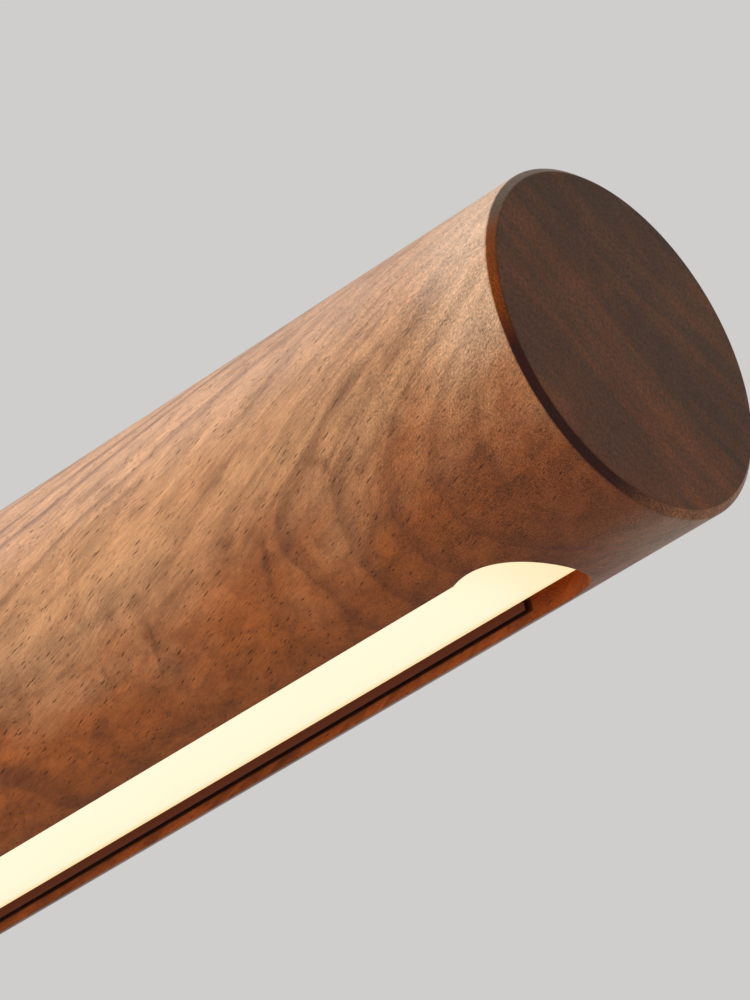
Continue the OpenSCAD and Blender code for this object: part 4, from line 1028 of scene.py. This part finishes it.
class LAMP_OT_hub(Piece, bpy.types.Operator):
    """Make the hub and its walnut cap"""
    bl_idname = "lamp.hub"
    bl_label = "Hub and cap"

    def execute(self, context):
        s = context.scene.lamp_sizes
        r, c, fine = BAR_RADIUS, s.edge_chamfer, s.end_chamfer
        back, front, plug, cap_back = HUB_LOW[0], HUB_HIGH[0], CAP_HIGH[0], CAP_LOW[0]
        mouth, seat, sunk = s.hub_mouth, s.flange_seat, front - s.flange_depth
        hub = eased([(0, plug), (mouth, plug), (mouth, back), (r - c / 2, back), (r, back + c / 2),
                     (r, front - c), (r - c, front), (seat, front), (seat, sunk), (0, sunk)], s.metal_ease)
        make_piece("hub", [level(hub)], bronze_anodised(), "stem", "hub_body")
        fit = mouth - s.fit_gap
        cap = eased([(0, cap_back), (r - fine, cap_back), (r, cap_back + fine), (r, back - c / 2),
                     (r - c / 2, back), (fit, back), (fit, plug), (0, plug)], s.wood_ease)
        finish = walnut("cap_walnut", (cap_back, 0, AXIS_Z), turn=(0, 0, math.pi), edge=0.2)
        make_piece("cap", [level(cap)], finish, "stem", "hub_cap")
        return {"FINISHED"}


class LAMP_OT_stem(Piece, bpy.types.Operator):
    """Make the stem, its collar and the socket it swivels in"""
    bl_idname = "lamp.stem"
    bl_label = "Stem, collar and socket"

    def execute(self, context):
        s = context.scene.lamp_sizes
        e, c = s.metal_ease, s.edge_chamfer
        stem = sleeve(s.stem_bore, STEM_LOW, STEM_HIGH, 0, 0, e)
        collar = sleeve(STEM_HIGH[0] + s.fit_gap, COLLAR_LOW, COLLAR_HIGH, c / 2, c / 2, e)
        socket = sleeve(s.socket_bore, SOCKET_LOW, SOCKET_HIGH, 0, c, e)
        for name, section, body, node in (("stem", stem, "stem", "stem_tube"),
                                          ("collar", collar, "stem", "stem_collar"),
                                          ("socket", socket, "base", "stem_socket")):
            make_piece(name, [upright(section)], bronze_coat(), body, node)
        return {"FINISHED"}


class LAMP_OT_base(Piece, bpy.types.Operator):
    """Make the base cover with the button's hole and the inlet's window"""
    bl_idname = "lamp.base"
    bl_label = "Base cover"

    def execute(self, context):
        surface = cover_surface(context.scene.lamp_sizes)
        make_piece("cover", surface, bronze_coat(), "base", "base_cover")
        return {"FINISHED"}


class LAMP_OT_button(Piece, bpy.types.Operator):
    """Make the walnut push button"""
    bl_idname = "lamp.button"
    bl_label = "Button"

    def execute(self, context):
        s = context.scene.lamp_sizes
        x, y = (BUTTON_LOW[:2] + BUTTON_HIGH[:2]) / 2
        low, high, rim = BUTTON_LOW[2], BUTTON_HIGH[2], (BUTTON_HIGH[0] - BUTTON_LOW[0]) / 2
        r, c, rim_top = rim - s.button_rim, s.edge_chamfer / 2, low + s.rim_height
        shape = eased([(0, low), (rim, low), (rim, rim_top), (r, rim_top), (r, high - c), (r - c, high),
                       (0, high)], s.wood_ease)
        finish = walnut("button_walnut", (x, y, high), turn=(0, 0, 0.5), edge=0.0)
        make_piece("button", [upright(shape, x, y)], finish, "button", "button_cap")
        return {"FINISHED"}


class LAMP_OT_inner(Piece, bpy.types.Operator):
    """Give the pieces inside the lamp their finishes"""
    bl_idname = "lamp.inner"
    bl_label = "Inner pieces"

    def execute(self, context):
        c = context.scene.lamp_colours
        finishes = {
            "steel": turned("turned_steel", c.steel, pitch=0.12, gloss=0.3),
            "brass": turned("turned_brass", c.brass, pitch=0.15, gloss=0.28),
            "iron": grained("phosphated_iron", c.iron, grain=0.9, gloss=0.6, depth=0.03, spread=0.2,
                            tone=0.3, metallic=0.3),
            "bearing_plastic": grained("bearing_plastic", c.bearing, grain=0.3, gloss=0.45, depth=0.004),
            "black_plastic": grained("black_moulding", c.black, grain=0.4, gloss=0.5, depth=0.008),
            "white_plastic": grained("white_moulding", c.white, grain=0.4, gloss=0.38, depth=0.004),
            "board": grained("board_mask", c.board, grain=0.8, gloss=0.3, depth=0.006, tone=0.25),
            "lamp": grained("lamp_resin", c.resin, grain=0.5, gloss=0.22, depth=0.003),
            "rubber": grained("soft_rubber", c.rubber, grain=0.5, gloss=0.62, depth=0.01, spread=0.14,
                              tone=0.3),
        }
        solids = [s for s in context.scene.objects if s.type == "MESH" and s.name in frame["nodes"]]
        if not solids:
            raise RuntimeError("the frame has no solids")
        slots = {part["node"]: part["material_slot"] for part in frame["record"]["subparts"]}
        for solid in solids:
            finish = finishes.get(slots[solid.name])
            if finish:
                for place in solid.material_slots:
                    place.material = finish
        return {"FINISHED"}


# The studio: the camera and the lights' aim from the middle of the bar's free end, the key and the fill light
# from that aim, the top light above the base, and the floor
CAMERA_PLACE = Vector((0.2531, -0.3811, -0.2360))
CAMERA_AHEAD = Vector((-0.5418, 0.7149, 0.4416))
CAMERA_RIGHT = Vector((0.7155, 0.6682, -0.2040))
LIGHT_AIM = Vector((-0.05, 0, 0))
KEY_PLACE, KEY_SIDE = 1.3 * Vector((-0.54, -0.3, 0.79)), 0.7
FILL_PLACE, FILL_SIDE = 3.6 * Vector((-0.62, -0.78, 0.08)), 1.4
TOP_PLACE, TOP_SIDE = Vector((0, 0, 2.0)), 1.4
BRIGHT_HEADING = (-0.25, 0.6, 0.76)
FLOOR_RINGS = np.array([0.02, 0.5, 1, 2, 4, 8, 16, 40, 90])
FLOOR_STEPS = 96
FLOOR_FADE = (0.35, 1.15)
FLOOR_SPOT = 0.8
FLOOR_DIM = 0.45


class LAMP_OT_stage(Piece, bpy.types.Operator):
    """Set the floor, the background, the studio lights and the camera"""
    bl_idname = "lamp.stage"
    bl_label = "Stage"

    def execute(self, context):
        scene = context.scene
        light, colours = scene.lamp_light, scene.lamp_colours
        scene.view_settings.view_transform = "Standard"
        self.background(scene, colours, light)
        self.floor(colours)
        aim = FREE_END + LIGHT_AIM
        self.soft_light("key", aim + KEY_PLACE, aim, KEY_SIDE, light.key)
        fill = self.soft_light("fill", aim + FILL_PLACE, aim, FILL_SIDE, light.fill)
        fill.visible_glossy = False
        self.soft_light("top", TOP_PLACE, Vector((0, 0, 0)), TOP_SIDE, light.top)
        self.camera(scene, light.lens)
        return {"FINISHED"}

    @staticmethod
    def camera(scene, lens):
        """The camera in front of and below the bar's free end."""
        camera = bpy.data.objects.new("camera", bpy.data.cameras.new("camera"))
        bpy.context.collection.objects.link(camera)
        camera.data.lens = lens
        ahead = CAMERA_AHEAD.normalized()
        right = (CAMERA_RIGHT - ahead * CAMERA_RIGHT.dot(ahead)).normalized()
        turn = Matrix((right, right.cross(ahead), -ahead)).transposed().to_4x4()
        camera.matrix_world = Matrix.Translation(FREE_END + CAMERA_PLACE) @ turn
        scene.camera = camera

    @staticmethod
    def background(scene, colours, light):
        """A pale even background for the eye, and a dimmer light on the object from above and behind."""
        scene.world = bpy.data.worlds.new("studio")
        scene.world.use_nodes = True
        w = Wiring(scene.world.node_tree)
        w.tree.nodes.clear()
        heading = w.dot(w.put("ShaderNodeTexCoord").outputs["Generated"], BRIGHT_HEADING)
        soft = w.ramp(heading, -0.5, 0.9, light.shade, light.ambient)
        colour = w.mix(w.seen_ray(), w.join(soft, soft, soft), colours.backdrop)
        back = w.put("ShaderNodeBackground", {"Color": colour, "Strength": 1.0})
        w.put("ShaderNodeOutputWorld", {"Surface": back.outputs[0]})

    @staticmethod
    def floor(colours):
        """A wide round floor, P = radius (cos a, sin a), that turns into the background far from the lamp."""
        a = around(FLOOR_STEPS)
        across, along = FLOOR_RINGS[:, None] * np.cos(a), FLOOR_RINGS[:, None] * np.sin(a)
        points, faces = patch(np.stack([across, along, np.zeros_like(across)], axis=-1), closed=True)
        mesh = bpy.data.meshes.new("floor")
        mesh.from_pydata(points.tolist(), [], faces.tolist() + [list(range(FLOOR_STEPS))])
        f = Finish("studio_floor")
        base = np.array(colours.floor)
        spots = f.times(f.noise(f.scale(f.place, 40.0), detail=3, roughness=0.6), 0.08)
        seen = f.seen_ray()
        pale = f.mix(spots, base, base * FLOOR_SPOT)
        f.feed(f.shader, {"Base Color": f.mix(seen, base * FLOOR_DIM, pale), "Roughness": 0.8})
        far = f.times(f.ramp(f.vector("LENGTH", f.place), *FLOOR_FADE), seen)
        glow = f.put("ShaderNodeEmission", {"Color": colours.backdrop, "Strength": 1.0})
        both = f.put("ShaderNodeMixShader", {0: far, 1: f.shader.outputs[0], 2: glow.outputs[0]})
        f.feed(f.output, {"Surface": both.outputs[0]})
        mesh.materials.append(f.material)
        floor = bpy.data.objects.new("floor", mesh)
        bpy.context.collection.objects.link(floor)

    @staticmethod
    def soft_light(name, place, aim, side, power):
        """A square soft light that faces a point."""
        data = bpy.data.lights.new(name, "AREA")
        data.shape = "SQUARE"
        data.size = side
        data.energy = power
        lamp = bpy.data.objects.new(name, data)
        lamp.location = place
        lamp.rotation_euler = (aim - place).to_track_quat("-Z", "Y").to_euler()
        lamp.visible_camera = False
        bpy.context.collection.objects.link(lamp)
        return lamp


class LAMP_PT_sidebar(bpy.types.Panel):
    """The lamp's pieces and settings"""
    bl_idname = "LAMP_PT_sidebar"
    bl_label = "Table lamp"
    bl_space_type = "VIEW_3D"
    bl_region_type = "UI"
    bl_category = "Lamp"

    def draw(self, context):
        column = self.layout.column()
        for operator in OPERATORS:
            column.operator(operator.bl_idname)
        for name in SETTINGS:
            settings = getattr(context.scene, name)
            part = column.box()
            for setting in settings.__annotations__:
                part.prop(settings, setting)


OPERATORS = (LAMP_OT_bar, LAMP_OT_light, LAMP_OT_hub, LAMP_OT_stem, LAMP_OT_base, LAMP_OT_button,
             LAMP_OT_inner, LAMP_OT_stage)
SETTINGS = {"lamp_sizes": LampSizes, "lamp_colours": LampColours, "lamp_light": LampLight}


def register():
    for kind in (*SETTINGS.values(), *OPERATORS, LAMP_PT_sidebar):
        bpy.utils.register_class(kind)
    for name, kind in SETTINGS.items():
        setattr(bpy.types.Scene, name, PointerProperty(type=kind))


def unregister():
    for name in SETTINGS:
        delattr(bpy.types.Scene, name)
    for kind in (LAMP_PT_sidebar, *reversed(OPERATORS), *reversed(SETTINGS.values())):
        bpy.utils.unregister_class(kind)


def main():
    """Registers the classes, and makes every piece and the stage."""
    register()
    bpy.ops.lamp.bar()
    bpy.ops.lamp.light()
    bpy.ops.lamp.hub()
    bpy.ops.lamp.stem()
    bpy.ops.lamp.base()
    bpy.ops.lamp.button()
    bpy.ops.lamp.inner()
    bpy.ops.lamp.stage()
    bpy.context.view_layer.update()


if __name__ == "__main__":
    main()
